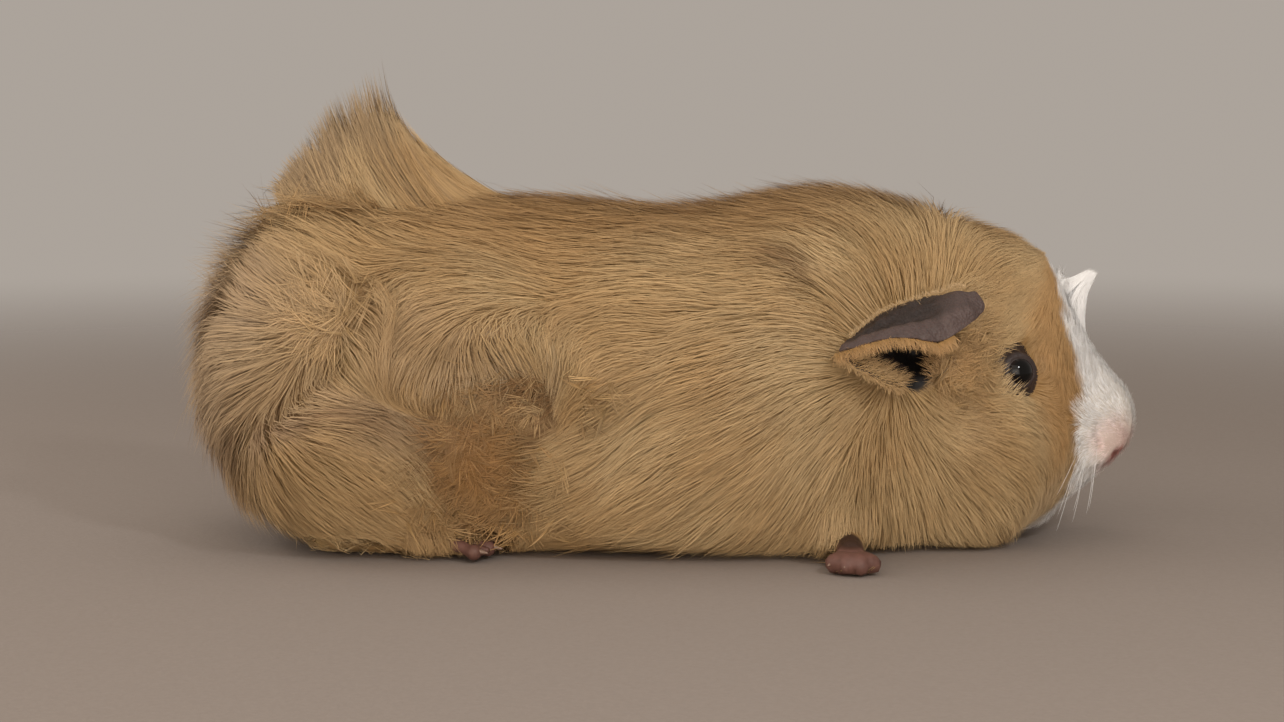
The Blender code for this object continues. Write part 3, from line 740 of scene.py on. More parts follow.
def write_hair(name, made, root_uv, root_place, look):
    """One mesh of all these blades, with the OFBake map and what the hair material reads."""
    blades, shading = made
    number, per = blades.shape[:2]
    steps = (per - 1) // 2
    quads = np.array([[2 * i, 2 * i + 1, 2 * i + 3, 2 * i + 2] for i in range(steps - 1)])
    tip = np.array([[2 * steps - 2, 2 * steps - 1, 2 * steps]])
    starts = np.arange(number) * per
    loops = np.concatenate([quads.ravel(), tip.ravel()])
    all_loops = (starts[:, None] + loops[None, :]).ravel()
    sizes = np.array([4] * (steps - 1) + [3])
    all_sizes = np.tile(sizes, number)
    mesh = bpy.data.meshes.new(name)
    mesh.vertices.add(number * per)
    blades[:, :, 2] = np.maximum(blades[:, :, 2], 0.05)
    mesh.vertices.foreach_set("co", (blades * MM).astype(np.float32).ravel())
    mesh.loops.add(len(all_loops))
    mesh.loops.foreach_set("vertex_index", all_loops.astype(np.int32))
    mesh.polygons.add(len(all_sizes))
    mesh.polygons.foreach_set("loop_start", np.concatenate([[0], np.cumsum(all_sizes)[:-1]]).astype(np.int32))
    mesh.polygons.foreach_set("use_smooth", np.ones(len(all_sizes), bool))
    mesh.update(calc_edges=True)
    t = np.repeat(np.linspace(0, 1, steps + 1), 2)[:per]
    across = np.tile([0.0, 1.0], steps + 1)[:per]
    across[-1] = 0.5
    patch = np.column_stack([across - 0.5, t - 0.5]) * 0.003
    uv = (root_uv[:, None, :] + patch[None, :, :]).reshape(-1, 2)
    layer = mesh.uv_layers.new(name="OFBake")
    layer.data.foreach_set("uv", uv[all_loops].astype(np.float32).ravel())
    values = np.empty((number, per, 3))
    values[:, :, 0] = look[:, 0][:, None]
    values[:, :, 1] = t[None, :]
    values[:, :, 2] = look[:, 1][:, None]
    for label, found in (
            ("root_place", np.repeat(root_place * MM, per, axis=0)), ("strand", values), ("custom_normal", shading)):
        attribute = mesh.attributes.new(label, "FLOAT_VECTOR", "POINT")
        attribute.data.foreach_set("vector", found.astype(np.float32).ravel())
    obj = bpy.data.objects.new(name, mesh)
    bpy.context.scene.collection.objects.link(obj)
    return obj


def finish_coat(obj, slot, *nodes):
    """Every piece of coat wears the fur and moves with the body; the slot is not used."""
    obj.data.materials.append(fur)
    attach(obj, "root")
    if nodes:
        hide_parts(*nodes)
    print(f"{obj.name}: {triangles_in([obj])} triangles")
    return obj


# %% [markdown]
# Where the chart isn't enough, hair is drawn as bows: a root, a place that pulls the hair
# towards itself, and an end. Crest, forelock, whiskers and the hair of ears and paws are bows.

# %% Bows
def bows(root, pull, end, steps):
    """Curved paths from root towards pull and on to end, one row a hair."""
    t = np.linspace(0, 1, steps + 1)[None, :, None]
    return root[:, None] * (1 - t) ** 2 + 2 * pull[:, None] * t * (1 - t) + end[:, None] * t ** 2


def cut_bows(start, pull, end, reach):
    """The pull and end of the first part of each bow, up to a share of its way."""
    reach = reach[:, None]
    return (start * (1 - reach) + pull * reach,
            start * (1 - reach) ** 2 + 2 * pull * reach * (1 - reach) + end * reach ** 2)


def steady(normals, steps):
    """The same outward direction all along each hair."""
    return np.repeat(unit(normals)[:, None, :], steps + 1, axis=1)


def facing_side(places, forward, up):
    """Outward directions for hair on the animal's sides."""
    return np.column_stack([np.full(len(places), forward), np.sign(places[:, 1]), np.full(len(places), up)])


def sew_bows(name, bends, places, outward, widths, roll, shade, colour_from=None, steps=4):
    """A piece of coat of bows, given as rows of root, pull and end, rooted at these places."""
    paths = bows(bends[:, 0], bends[:, 1], bends[:, 2], steps)
    rolls = rng.uniform(-roll, roll, len(paths))
    blades = blades_of(paths, steady(outward, steps), widths, rolls)
    look = np.column_stack([shade(len(paths)), np.ones(len(paths))])
    colour_from = places if colour_from is None else colour_from
    return finish_coat(write_hair(name, blades, face_share(places), colour_from, look), "buff_coat")


# %% [markdown]
# ## Paws
# A forefoot has four short rounded toes and a hind foot three longer ones. Each toe is a chain
# of balls from the palm to the tip, shrinking as it goes; a foot's balls are joined, melted into
# one surface with a fine remesh, and smoothed. The bare paws go into the skin's own mesh, and
# the coat hides where they come out of the leg.

# %% Paw shapes
FOREPAW = {  # left side, in mm
    "root": (41.3, 33, 5.6), "palm": (41.4, 45.5, 3.9), "root_radius": 4.2, "palm_radius": 3.3,
    "toes": [(37.2, 50.6, 2.0), (39.7, 52.6, 2.1), (42.3, 52.6, 2.1), (44.7, 50.8, 2.0)],
    "toe_radii": (2.1, 1.45),
}
HINDPAW = {
    "root": (-80.2, 27, 3.4), "palm": (-57.2, 30, 3.6), "root_radius": 3.0, "palm_radius": 3.7,
    "toes": [(-45.6, 28.4, 2.2), (-43.4, 33.0, 2.3), (-46.4, 37.6, 2.2)],
    "toe_radii": (2.5, 1.8),
}
PAW_VOXEL = 0.56


def chain(start, end, first, last, number):
    """Balls in a row between two places."""
    made = []
    for i in range(number):
        share = i / (number - 1)
        radius = first + (last - first) * share
        spot = [start[axis] + (end[axis] - start[axis]) * share for axis in range(3)]
        made.append(ball_at(spot, (radius, radius, radius * 0.92), detail=2))
    return made


def paw_of(paw, side, name):
    def turned(spot):
        return (spot[0], side * spot[1], spot[2])
    balls = chain(turned(paw["root"]), turned(paw["palm"]), paw["root_radius"], paw["palm_radius"], 6)
    for tip in paw["toes"]:
        middle = [(a + b) / 2 for a, b in zip(paw["palm"], tip)]
        middle[2] += 0.9
        knuckle = turned(middle)
        balls += chain(turned(paw["palm"]), knuckle, paw["toe_radii"][0] * 0.9, paw["toe_radii"][0] * 0.8, 3)
        balls += chain(knuckle, turned(tip), paw["toe_radii"][0] * 0.8, paw["toe_radii"][1] * 0.9, 5)
        balls.append(ball_at(turned(tip), (paw["toe_radii"][1] * 1.12,) * 3, detail=2))
    obj = join(balls, name)
    use_modifier(obj, "REMESH", mode="VOXEL", voxel_size=PAW_VOXEL * MM)
    use_modifier(obj, "SMOOTH", factor=0.5, iterations=2)
    only(obj)
    bpy.ops.object.mode_set(mode="EDIT")
    bpy.ops.mesh.select_all(action="SELECT")
    bpy.ops.mesh.bisect(plane_co=(0, 0, 0.2 * MM), plane_no=(0, 0, -1), use_fill=True, clear_outer=True)
    bpy.ops.object.mode_set(mode="OBJECT")
    return obj


body_faces = len(skin.data.polygons)
paw_objects = []
for side_name, side in (("left", 1), ("right", -1)):
    paw_objects.append(paw_of(FOREPAW, side, "forepaw_" + side_name))
    paw_objects.append(paw_of(HINDPAW, side, "hindpaw_" + side_name))
join([skin] + paw_objects, "skin")
print("skin with paws:", len(skin.data.polygons), "faces")

# %% [markdown]
# ## An unwrap of the skin
# Hair takes its baked colour from its root's place on the skin, so the skin is unwrapped by its
# own shape into flat islands, and every blade is a tiny patch at its root.

# %% Unwrap the skin
only(skin)
bpy.ops.object.mode_set(mode="EDIT")
bpy.ops.mesh.select_all(action="SELECT")
bpy.ops.uv.smart_project(angle_limit=math.radians(66), island_margin=0.002)
bpy.ops.object.mode_set(mode="OBJECT")
skin.data.uv_layers[0].name = "OFBake"
print("unwrapped", len(skin.data.polygons), "faces")

# %% [markdown]
# Roots are scattered over the skin. Each triangle gets its share by its area, at random places
# inside it, so that the coat is even whatever the size of the faces.

# %% Sowing roots
skin.data.calc_loop_triangles()
skin_points = coords(skin.data)
triangles = np.empty(len(skin.data.loop_triangles) * 3, int)
skin.data.loop_triangles.foreach_get("vertices", triangles)
triangles = triangles.reshape(-1, 3)
corner = skin_points[triangles]
areas = np.linalg.norm(np.cross(corner[:, 1] - corner[:, 0], corner[:, 2] - corner[:, 0]), axis=1) / 2
middles = corner.mean(1)
triangle_chart = read_chart(middles)
triangle_face = np.empty(len(triangles), int)
skin.data.loop_triangles.foreach_get("polygon_index", triangle_face)
on_body = triangle_face < body_faces


def sow(density):
    """Roots scattered over the skin, density hairs to each square mm of each triangle."""
    wanted = areas * density * GIVE
    number = (wanted + rng.random(len(wanted))).astype(int)
    chosen = np.repeat(np.arange(len(areas)), number)
    first = np.sqrt(rng.random(len(chosen)))
    second = rng.random(len(chosen))
    share = np.column_stack([1 - first, first * (1 - second), first * second])
    return (corner[chosen] * share[:, :, None]).sum(1), chosen, share


print("skin area", round(areas.sum() / 100), "square cm")
loop_uv = np.empty(len(skin.data.loops) * 2)
skin.data.uv_layers[0].data.foreach_get("uv", loop_uv)
loop_uv = loop_uv.reshape(-1, 2)
triangle_loops = np.empty(len(skin.data.loop_triangles) * 3, int)
skin.data.loop_triangles.foreach_get("loops", triangle_loops)
triangle_uv = loop_uv[triangle_loops.reshape(-1, 3)]

# %% [markdown]
# ## The coat
# Hairs per square mm follow from how long a hair is: long hairs lie over one another many deep,
# short ones need to stand closer. A real coat has some five hairs where this one has one, so
# each blade is drawn a little wider than a hair, about a sixth of a millimetre.

# %% Lengths, widths and locks
COVER = 5.2  # how many hairs lie over each spot of skin
MOST_DENSE = 8.4  # hairs to a square mm
MORE_WHERE_STANDING = 2.0  # hair that stands covers less, so more of it grows there
triangle_length = triangle_chart[:, 3]


def blade_width(length):
    return 0.115 + 0.0045 * length


dense = np.minimum(COVER / (triangle_length * blade_width(triangle_length) * 0.62), MOST_DENSE)
dense = dense * (1 + MORE_WHERE_STANDING * triangle_chart[:, 4])
under = np.clip((4 - middles[:, 2]) / 4, 0, 1) * np.clip(-read_grid(outwards, middles)[:, 2], 0, 1)
dense = dense * (1 - 0.6 * under) * on_body
BARE = [  # places with no coat of their own: eye and lids, ear hole, nostril and the toes
    ((82.4, 23.6, 43.9), 5.8), ((77.0, 26.6, 46.4), 2.7), (EAR_HOLE, 6.5), ((57, 33, 43.0), 2.2), ((99, 0, 56), 3.0),
    ((110.6, 8.6, 20.9), 1.0), ((41.5, 50, 3), 5.5), ((-46, 33, 2), 5.0)]
for spot, reach in BARE:
    away_from = np.linalg.norm(on_left(middles) - spot, axis=1)
    dense = dense * np.clip((away_from - reach) / 0.8, 0, 1)
roots, root_triangle, root_share = sow(dense)
root_uv = (triangle_uv[root_triangle] * root_share[:, :, None]).sum(1)
root_chart = read_chart(roots)

lock_reach = 0.7 + 0.05 * triangle_length
lock_roots = sow(1 / (math.pi * lock_reach ** 2) / GIVE)[0]
lock_chart = read_chart(lock_roots)
lock_finder = KDTree(len(lock_roots))
for i, point in enumerate(lock_roots):
    lock_finder.insert(point, i)
lock_finder.balance()
lock_of = np.array([lock_finder.find(point)[1] for point in roots])
print(len(roots), "hairs in", len(lock_roots), "locks")


# %% [markdown]
# A hair's path starts as its walk over the skin. It leans towards its lock's path, is lifted
# into its own layer of the coat, stands off as the chart says, and is made springy, so that it
# bridges grooves. Each hair adds a small bend of its own to its lock's.

# %% Paths of a share of the hairs
UNRULY = [  # middle and reach in mm, bend in radians
    ((-44, 34, 20), 9, 0.55), ((70, 29, 47), 7, 0.9), ((-104, 25, 56), 12, 0.2), ((-80, 44, 58.5), 5, 0.9)]
GATHER = 0.22  # how far a hair's tip leans to its lock's path
STRAY_SHARE = 0.03  # hairs that stand off on their own


def messy(points):
    """How unruly the coat is, in radians: most in the hollow, at the whorls and between ear and eye."""
    total = np.zeros(len(points))
    for centre, reach, much in UNRULY:
        total += much * np.exp(-((on_left(points) - centre) ** 2).sum(1) / (2 * reach ** 2))
    return total


def stiffen(paths, normals, length):
    """Hair is springy: it bends inwards only so much a step, so it bridges grooves and stands off edges."""
    step = (length / (paths.shape[1] - 1))[:, None]
    allowed = (0.035 + 0.25 / length)[:, None] * step ** 2
    for i in range(2, paths.shape[1]):
        ahead = 2 * paths[:, i - 1] - paths[:, i - 2]
        inward = ((ahead - paths[:, i]) * normals[:, i - 1]).sum(1, keepdims=True)
        paths[:, i] += normals[:, i - 1] * np.maximum(inward - allowed, 0)
    return paths


lock_bend = np.column_stack([
    rng.normal(0, 0.04, len(lock_roots)) + 0.08 * waviness(lock_roots, 26, 3),
    rng.normal(0, 0.07, len(lock_roots)) + 0.08 * waviness(lock_roots, 18, 4)])
lock_bend[:, 0] += messy(lock_roots) * rng.normal(0, 1, len(lock_roots))
lock_long = rng.uniform(0.86, 1.1, len(lock_roots))
lock_layer = rng.uniform(0.35, 1.0, len(lock_roots))
lock_tint = rng.normal(0, 1, len(lock_roots))


def hair_paths(pick, steps):
    """Paths and outward normals of the hairs picked by index."""
    lock = lock_of[pick]
    start = roots[pick]
    own = rng.normal(size=(len(pick), 4))
    length = root_chart[pick, 3] * lock_long[lock] * (1 + 0.14 * own[:, 0])
    bend = lock_bend[lock] + own[:, 1:3] * [0.07, 0.11]
    bend[:, 0] += 0.7 * messy(start) * own[:, 3]
    skin_path, normals = walk(start, length, steps, bend)
    used, back = np.unique(lock, return_inverse=True)
    lock_path, _ = walk(lock_roots[used], lock_chart[used, 3] * lock_long[used], steps, lock_bend[used])
    t = np.linspace(0, 1, steps + 1)
    gather = (GATHER * t ** 1.4)[None, :, None]
    offset = (skin_path[:, :1] - lock_path[back][:, :1]) * 0.2
    gathered = skin_path * (1 - gather) + (lock_path[back] + offset) * gather
    flat = gathered.reshape(-1, 3)
    out = unit(read_grid(outwards, flat))
    flat = flat - out * read_grid(skin_distance, flat)[:, None]
    depth = np.clip(-read_grid(form_distance, flat), 0.15, 8).reshape(len(pick), -1)
    gathered = flat.reshape(gathered.shape)
    normals = out.reshape(gathered.shape)
    layer = np.clip(0.44 + 0.12 * lock_layer[lock] + 0.44 * rng.random(len(pick)) ** 0.8, 0.1, 1.0)
    rise = 1 - (1 - t) ** 1.8
    height = layer[:, None] * depth * rise[None, :] * 0.95 - 0.25 * (1 - t)[None, :]
    stand = 0.8 * root_chart[pick, 4] * rng.uniform(0.2, 1.4, len(pick))
    stand += np.where(rng.random(len(pick)) < STRAY_SHARE, 0.22 * rng.random(len(pick)), 0)
    height = height + (stand * length)[:, None] * t[None, :] ** 1.6
    tip_lift = rng.normal(0.05, 0.25, len(pick)) * depth[:, -1] * 0.25
    height = height + tip_lift[:, None] * t[None, :] ** 3
    paths = stiffen(gathered + normals * height[:, :, None], normals, length)
    paths[:, :, 2] = np.maximum(paths[:, :, 2], 0.15 + 0.5 * rng.random(len(pick))[:, None])
    look = np.column_stack([0.35 * lock_tint[lock] + 1.2 * strand_noise(start) + 0.4 * own[:, 3], layer])
    return paths, normals, length, look


def grow_coat(name, pick, steps, slot):
    """One piece of coat from the picked hairs."""
    paths, normals, length, look = hair_paths(pick, steps)
    widths = blade_width(length) * rng.uniform(0.7, 1.25, len(pick))
    roll = rng.uniform(-0.35, 0.35, len(pick))  # a blade seen from behind shades dark, so few turn far
    obj = write_hair(name, blades_of(paths, normals, widths, roll), root_uv[pick], roots[pick], look)
    return finish_coat(obj, slot)

# %% [markdown]
# ## Markings
# Skin and hair ask one node group what colour the animal is at a place. It starts from a golden
# buff that drifts a little from patch to patch, and lays soft-edged areas over it: the white
# blaze with its rusty rim, a pale rump, a rusty flank hollow, and a darker crown. Painted shade
# darkens the neck parting and the creases of hip, thigh and rump, and a painted highlight pales the hip ridge.

# %% Markings group
AREAS = [  # name, middle, radii in mm (y measured from the midline), softness, colour, strength
    ("brown_back", (-8, 0, 84), (64, 44, 17), 0.6, "#9E7440", 0.7),
    ("brown_crown", (52, 0, 84), (34, 22, 16), 0.5, "#A17D50", 0.5),
    ("rusty_hollow", (-41, 36, 25), (13, 26, 17), 0.95, "#8C5E28", 0.8),
    ("rusty_belly", (10, 44, 0), (60, 20, 7), 0.6, "#A57A42", 0.2),
    ("pale_rump", (-104, 20, 56), (22, 34, 26), 0.5, "#B89D7E", 0.7),
    ("grey_hip", (-74, 44, 40), (16, 16, 8), 0.5, "#AA8F70", 0.6),
    ("pale_hip", (-62, 40, 60), (22, 12, 7), 0.6, "#C2A680", 0.5),
    # Paler hair on the hip ridge, partly a painted highlight on the top of the wave.
    ("pale_ridge_and_highlight", (-38, 42, 52), (16, 14, 4), 0.6, "#C6AE8C", 0.8),
    ("tan_crest", (-72, 0, 112), (34, 32, 17), 0.3, "#A58C6B", 0.9),
    ("rusty_face", (93, 14, 46), (10, 20, 24), 0.5, "#BE8E54", 0.5),
    ("pale_jaw", (92, 16, 10), (16, 18, 12), 0.6, "#C6AE8A", 0.7),
    # Painted shade: dark brown along the neck parting, where the coat folds behind the ear.
    ("neck_parting_shade_high", (35.5, 36, 66.5), (4.0, 22, 2.6), 0.6, "#6E4A2C", 0.6),
    ("neck_parting_shade_low", (40.5, 36, 61.8), (2.8, 22, 4.0), 0.6, "#6E4A2C", 0.6),
    # Painted shade: dark brown under the hip ridge and the hip, before the thigh and in the rump crease.
    ("under_ridge_shade", (-31, 42, 42), (10, 22, 2.8), 0.6, "#7A5430", 0.7),
    ("under_ridge_shade_end", (-24, 42, 35), (3.0, 22, 7), 0.6, "#7A5430", 0.7),
    ("under_hip_shade", (-57, 42, 35.5), (12, 22, 2.6), 0.6, "#7C5A38", 0.65),
    ("thigh_front_shade", (-54, 40, 23), (3.2, 22, 9), 0.6, "#7C5A38", 0.6),
    ("rump_crease_shade", (-92, 40, 36.5), (11, 26, 2.8), 0.6, "#8A6A4C", 0.6),
    ("ear_front", (68, 30, 47), (7, 12, 9), 0.8, "#A87A42", 0.5),
]
markings = bpy.data.node_groups.new("coat_markings", "ShaderNodeTree")
markings.interface.new_socket("Place", in_out="INPUT", socket_type="NodeSocketVector")
markings.interface.new_socket("Colour", in_out="OUTPUT", socket_type="NodeSocketColor")
markings.interface.new_socket("White", in_out="OUTPUT", socket_type="NodeSocketFloat")
group_in = add_node(markings, "NodeGroupInput")
group_out = add_node(markings, "NodeGroupOutput")
millimetres = add_node(markings, "ShaderNodeVectorMath", {"operation": "SCALE"}, {
    0: group_in.outputs["Place"], "Scale": 1000.0}).outputs[0]
parted = add_node(markings, "ShaderNodeSeparateXYZ", inputs={0: millimetres})
side_y = add_node(markings, "ShaderNodeMath", {"operation": "ABSOLUTE"}, {0: parted.outputs["Y"]})
mirrored = add_node(markings, "ShaderNodeCombineXYZ", inputs={
    "X": parted.outputs["X"], "Y": side_y.outputs[0], "Z": parted.outputs["Z"]}).outputs[0]
drift = add_node(markings, "ShaderNodeTexNoise", inputs={
    "Vector": millimetres, "Scale": 1 / 22, "Detail": 2.0, "Roughness": 0.6})
stray = add_node(markings, "ShaderNodeTexNoise", inputs={
    "Vector": millimetres, "Scale": 1 / 5, "Detail": 1.0})
spread = add_node(markings, "ShaderNodeMapRange", inputs={
    "Value": drift.outputs["Fac"], "From Min": 0.35, "From Max": 0.65})
colour = add_node(markings, "ShaderNodeMix", {"data_type": "RGBA"}, {
    "Factor": spread.outputs[0], 6: tint("#B89666"), 7: tint("#C4A87B")}).outputs[2]
wobble = add_node(markings, "ShaderNodeMath", {"operation": "MULTIPLY_ADD"}, {
    0: stray.outputs["Fac"], 1: 0.5, 2: -0.25}).outputs[0]


def area_mask(middle, radii, softness):
    apart = add_node(markings, "ShaderNodeVectorMath", {"operation": "SUBTRACT"}, {0: mirrored, 1: middle})
    scaled = add_node(markings, "ShaderNodeVectorMath", {"operation": "DIVIDE"}, {0: apart.outputs[0], 1: radii})
    far = add_node(markings, "ShaderNodeVectorMath", {"operation": "LENGTH"}, {0: scaled.outputs[0]})
    uneven = add_node(markings, "ShaderNodeMath", {"operation": "ADD"}, {0: far.outputs["Value"], 1: wobble})
    return add_node(markings, "ShaderNodeMapRange", {"interpolation_type": "SMOOTHSTEP"}, {
        "Value": uneven.outputs[0], "From Min": 1 - softness, "From Max": 1 + softness,
        "To Min": 1.0, "To Max": 0.0}).outputs[0]


def lay_over(under, mask, strength, over):
    share = add_node(markings, "ShaderNodeMath", {"operation": "MULTIPLY"}, {0: mask, 1: strength})
    return add_node(markings, "ShaderNodeMix", {"data_type": "RGBA"}, {
        "Factor": share.outputs[0], 6: under, 7: tint(over)}).outputs[2]


for name, middle, radii, softness, patch_colour, strength in AREAS:
    colour = lay_over(colour, area_mask(middle, radii, softness), strength, patch_colour)
blaze_low = area_mask((115, 0, 23), (18.5, 28, 30), 0.08)
blaze_high = area_mask((107, 0, 50), (15.5, 18, 32), 0.10)
blaze_chin = area_mask((103, 0, 4), (11.5, 20, 13), 0.10)
white = blaze_low
for more in (blaze_high, blaze_chin):
    white = add_node(markings, "ShaderNodeMath", {"operation": "MAXIMUM"}, {0: white, 1: more}).outputs[0]
colour = lay_over(colour, white, 1.0, "#FAF9F8")
# The nose leather shows pink through its short hair, deepest round the nostril.
colour = lay_over(colour, area_mask((108.0, 7, 25.0), (6.5, 7, 6.5), 0.5), 0.6, "#E4BDB4")
colour = lay_over(colour, area_mask((110.6, 8.4, 21.0), (2.4, 2.6, 2.4), 0.5), 0.85, "#D0908A")
markings.links.new(colour, group_out.inputs["Colour"])
markings.links.new(white, group_out.inputs["White"])


def markings_at(tree, place):
    return add_node(tree, "ShaderNodeGroup", {"node_tree": markings}, {"Place": place})


print("markings:", [name for name, *_ in AREAS])

# %% [markdown]
# Hair is keratin: pale at the tip, a little deeper and redder towards the root, with a soft gloss.
# The darker root is partly painted shade, where less light gets in. Each lock is a shade apart from the next.

# %% Fur material
fur, tree, shader = new_material("soft_buff_hair")
root_place = add_node(tree, "ShaderNodeAttribute", {"attribute_name": "root_place"}).outputs["Vector"]
strand = add_node(tree, "ShaderNodeSeparateXYZ", inputs={
    0: add_node(tree, "ShaderNodeAttribute", {"attribute_name": "strand"}).outputs["Vector"]})
marked = markings_at(tree, root_place)
# Darker towards the root: partly the hair's own tone, partly painted shade.
root_shade_ramp = add_node(tree, "ShaderNodeMapRange", inputs={
    "Value": strand.outputs["Y"], "From Min": 0.0, "From Max": 1.0, "To Min": 0.86, "To Max": 1.12})
shade = add_node(tree, "ShaderNodeMath", {"operation": "MULTIPLY_ADD"}, {
    0: strand.outputs["X"], 1: 0.105, 2: root_shade_ramp.outputs[0]})
bright = add_node(tree, "ShaderNodeVectorMath", {"operation": "SCALE"}, {
    0: marked.outputs["Colour"], "Scale": shade.outputs[0]})
warm_root = add_node(tree, "ShaderNodeMapRange", inputs={
    "Value": strand.outputs["Y"], "From Min": 0.0, "From Max": 0.6, "To Min": 1.08, "To Max": 0.97})
final = add_node(tree, "ShaderNodeHueSaturation", inputs={
    "Saturation": warm_root.outputs[0], "Color": bright.outputs[0]})
tree.links.new(final.outputs["Color"], shader.inputs["Base Color"])
shader.inputs["Roughness"].default_value = 0.55
shader.inputs["IOR"].default_value = 1.55
shader.inputs["Specular IOR Level"].default_value = 0.22

# %% [markdown]
# ## The skin's colour, with painted shade
# Under the coat the skin is painted the hair's colour in shade, so that a gap never flashes. The paws
# are bare and pink-brown, with painted shade over the forepaw's wrist, and the ear hole and the notch
# under it are painted near-black, a painted shade for their depth.

# %% Skin material
hide, tree, shader = new_material("soft_skin")
place = add_node(tree, "ShaderNodeTexCoord").outputs["Object"]
marked = markings_at(tree, place)
# Painted shade: the markings darkened to the coat's colour in its own shade.
colour = add_node(tree, "ShaderNodeVectorMath", {"operation": "MULTIPLY"}, {
    0: marked.outputs["Colour"], 1: (0.80, 0.76, 0.70)}).outputs[0]
mirrored_place = add_node(tree, "ShaderNodeVectorMath", {"operation": "ABSOLUTE"}, {0: place}).outputs[0]
behind = add_node(tree, "ShaderNodeVectorMath", {"operation": "MULTIPLY"}, {0: place, 1: (1, 0, 1)}).outputs[0]
sideways = add_node(tree, "ShaderNodeVectorMath", {"operation": "MULTIPLY"}, {
    0: mirrored_place, 1: (0, 1, 0)}).outputs[0]
folded = add_node(tree, "ShaderNodeVectorMath", {"operation": "ADD"}, {0: behind, 1: sideways}).outputs[0]
blotch = add_node(tree, "ShaderNodeTexNoise", inputs={"Vector": place, "Scale": 500.0, "Detail": 3.0})
paw_pink = add_node(tree, "ShaderNodeMix", {"data_type": "RGBA"}, {
    "Factor": blotch.outputs["Fac"], 6: tint("#573930"), 7: tint("#80594E")}).outputs[2]
for spot, reach, soft, finish in (
        # Painted shade: dark brown over the forepaw's wrist, where the coat hangs over it.
        ((41.5, 50.5, 1.0), 8.5, 2.0, paw_pink), ((41.4, 45.8, 8.2), 4.4, 1.4, tint("#3A2418")),
        ((-47.0, 33.0, 1.0), 8.5, 2.5, paw_pink),
        # Painted shade: near-black in the ear hole and the notch under it, for their depth.
        (EAR_HOLE, 8.0, 2.0, tint("#0C0604")), ((57, 33, 43.0), 3.4, 1.0, tint("#0C0604"))):
    near = add_node(tree, "ShaderNodeVectorMath", {"operation": "DISTANCE"}, {
        0: folded, 1: tuple(c * MM for c in spot)})
    mask = add_node(tree, "ShaderNodeMapRange", {"interpolation_type": "SMOOTHSTEP"}, {
        "Value": near.outputs["Value"], "From Min": (reach - soft) * MM, "From Max": (reach + soft) * MM,
        "To Min": 1.0, "To Max": 0.0})
    colour = add_node(tree, "ShaderNodeMix", {"data_type": "RGBA"}, {
        "Factor": mask.outputs[0], 6: colour, 7: finish}).outputs[2]
creases = add_node(tree, "ShaderNodeTexNoise", inputs={"Vector": place, "Scale": 1500.0, "Detail": 3.0})
bump = add_node(tree, "ShaderNodeBump", inputs={
    "Strength": 0.5, "Distance": 0.12 * MM, "Height": creases.outputs["Fac"]})
tree.links.new(colour, shader.inputs["Base Color"])
tree.links.new(bump.outputs["Normal"], shader.inputs["Normal"])
shader.inputs["Roughness"].default_value = 0.6
skin.data.materials.append(hide)
for face in skin.data.polygons:
    face.use_smooth = True
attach(skin, "root")
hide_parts(*flesh)

# %% [markdown]
# The coat is grown in bands from rump to muzzle, left and right, so that no piece gets too
# heavy. Hair grows over from band to band, so no edge shows. Hair that is long and bends most
# takes four steps and the rest three, which keeps the count of triangles down.

# %% Pieces of coat
REGIONS = [  # name, back edge, front edge in mm along the body, steps of each hair
    ("coat_rump", -200, -84, 4), ("coat_hip", -84, -52, 4), ("coat_loin", -52, -20, 3),
    ("coat_ribs", -20, 12, 3), ("coat_shoulder", 12, 40, 3), ("coat_cheek", 40, 66, 3),
    ("coat_face", 66, 93, 3), ("coat_muzzle", 93, 200, 3),
]
for name, back_edge, front_edge, steps in REGIONS:
    along = (roots[:, 0] > back_edge) & (roots[:, 0] <= front_edge)
    slot = "white_coat" if name == "coat_muzzle" else "buff_coat"
    for side_name, side in (("left", roots[:, 1] > 0), ("right", roots[:, 1] <= 0)):
        grow_coat(f"{name}_{side_name}", np.flatnonzero(along & side), steps, slot)


# %% [markdown]
# ## The rump crest
# Over the rump the long coat meets from both sides and stands up in a pointed crest. Its hairs
# are rooted over a wide patch of the croup. Each runs up the slope of the patch, then turns up a
# leaning cone towards the tip, which gives the hollow sweep in front; those at the back flare.

# %% Crest
CREST_HAIRS = 13000
CREST_STEPS = 6
CREST_WIDTH = 0.19
CREST_ENDS = np.array([(-99, 87), (-94.5, 94), (-87.5, 104), (-80, 112), (-71.5, 119.5)])  # rear to tip, x, z
skin_tree = tree_of(skin.data)


def face_share(points):
    """Unwrap places of the skin nearest to points."""
    found = np.empty((len(points), 2))
    uv = skin.data.uv_layers["OFBake"].data
    for i, point in enumerate(points):
        index = skin_tree.find_nearest(Vector(point))[2]
        found[i] = uv[skin.data.polygons[index].loop_start].uv
    return found


def drop_on(x, y, height=150):
    """Places of the skin straight below."""
    return np.array([skin_tree.ray_cast(Vector((a, b, height)), Vector((0, 0, -1)))[0][:] for a, b in zip(x, y)])


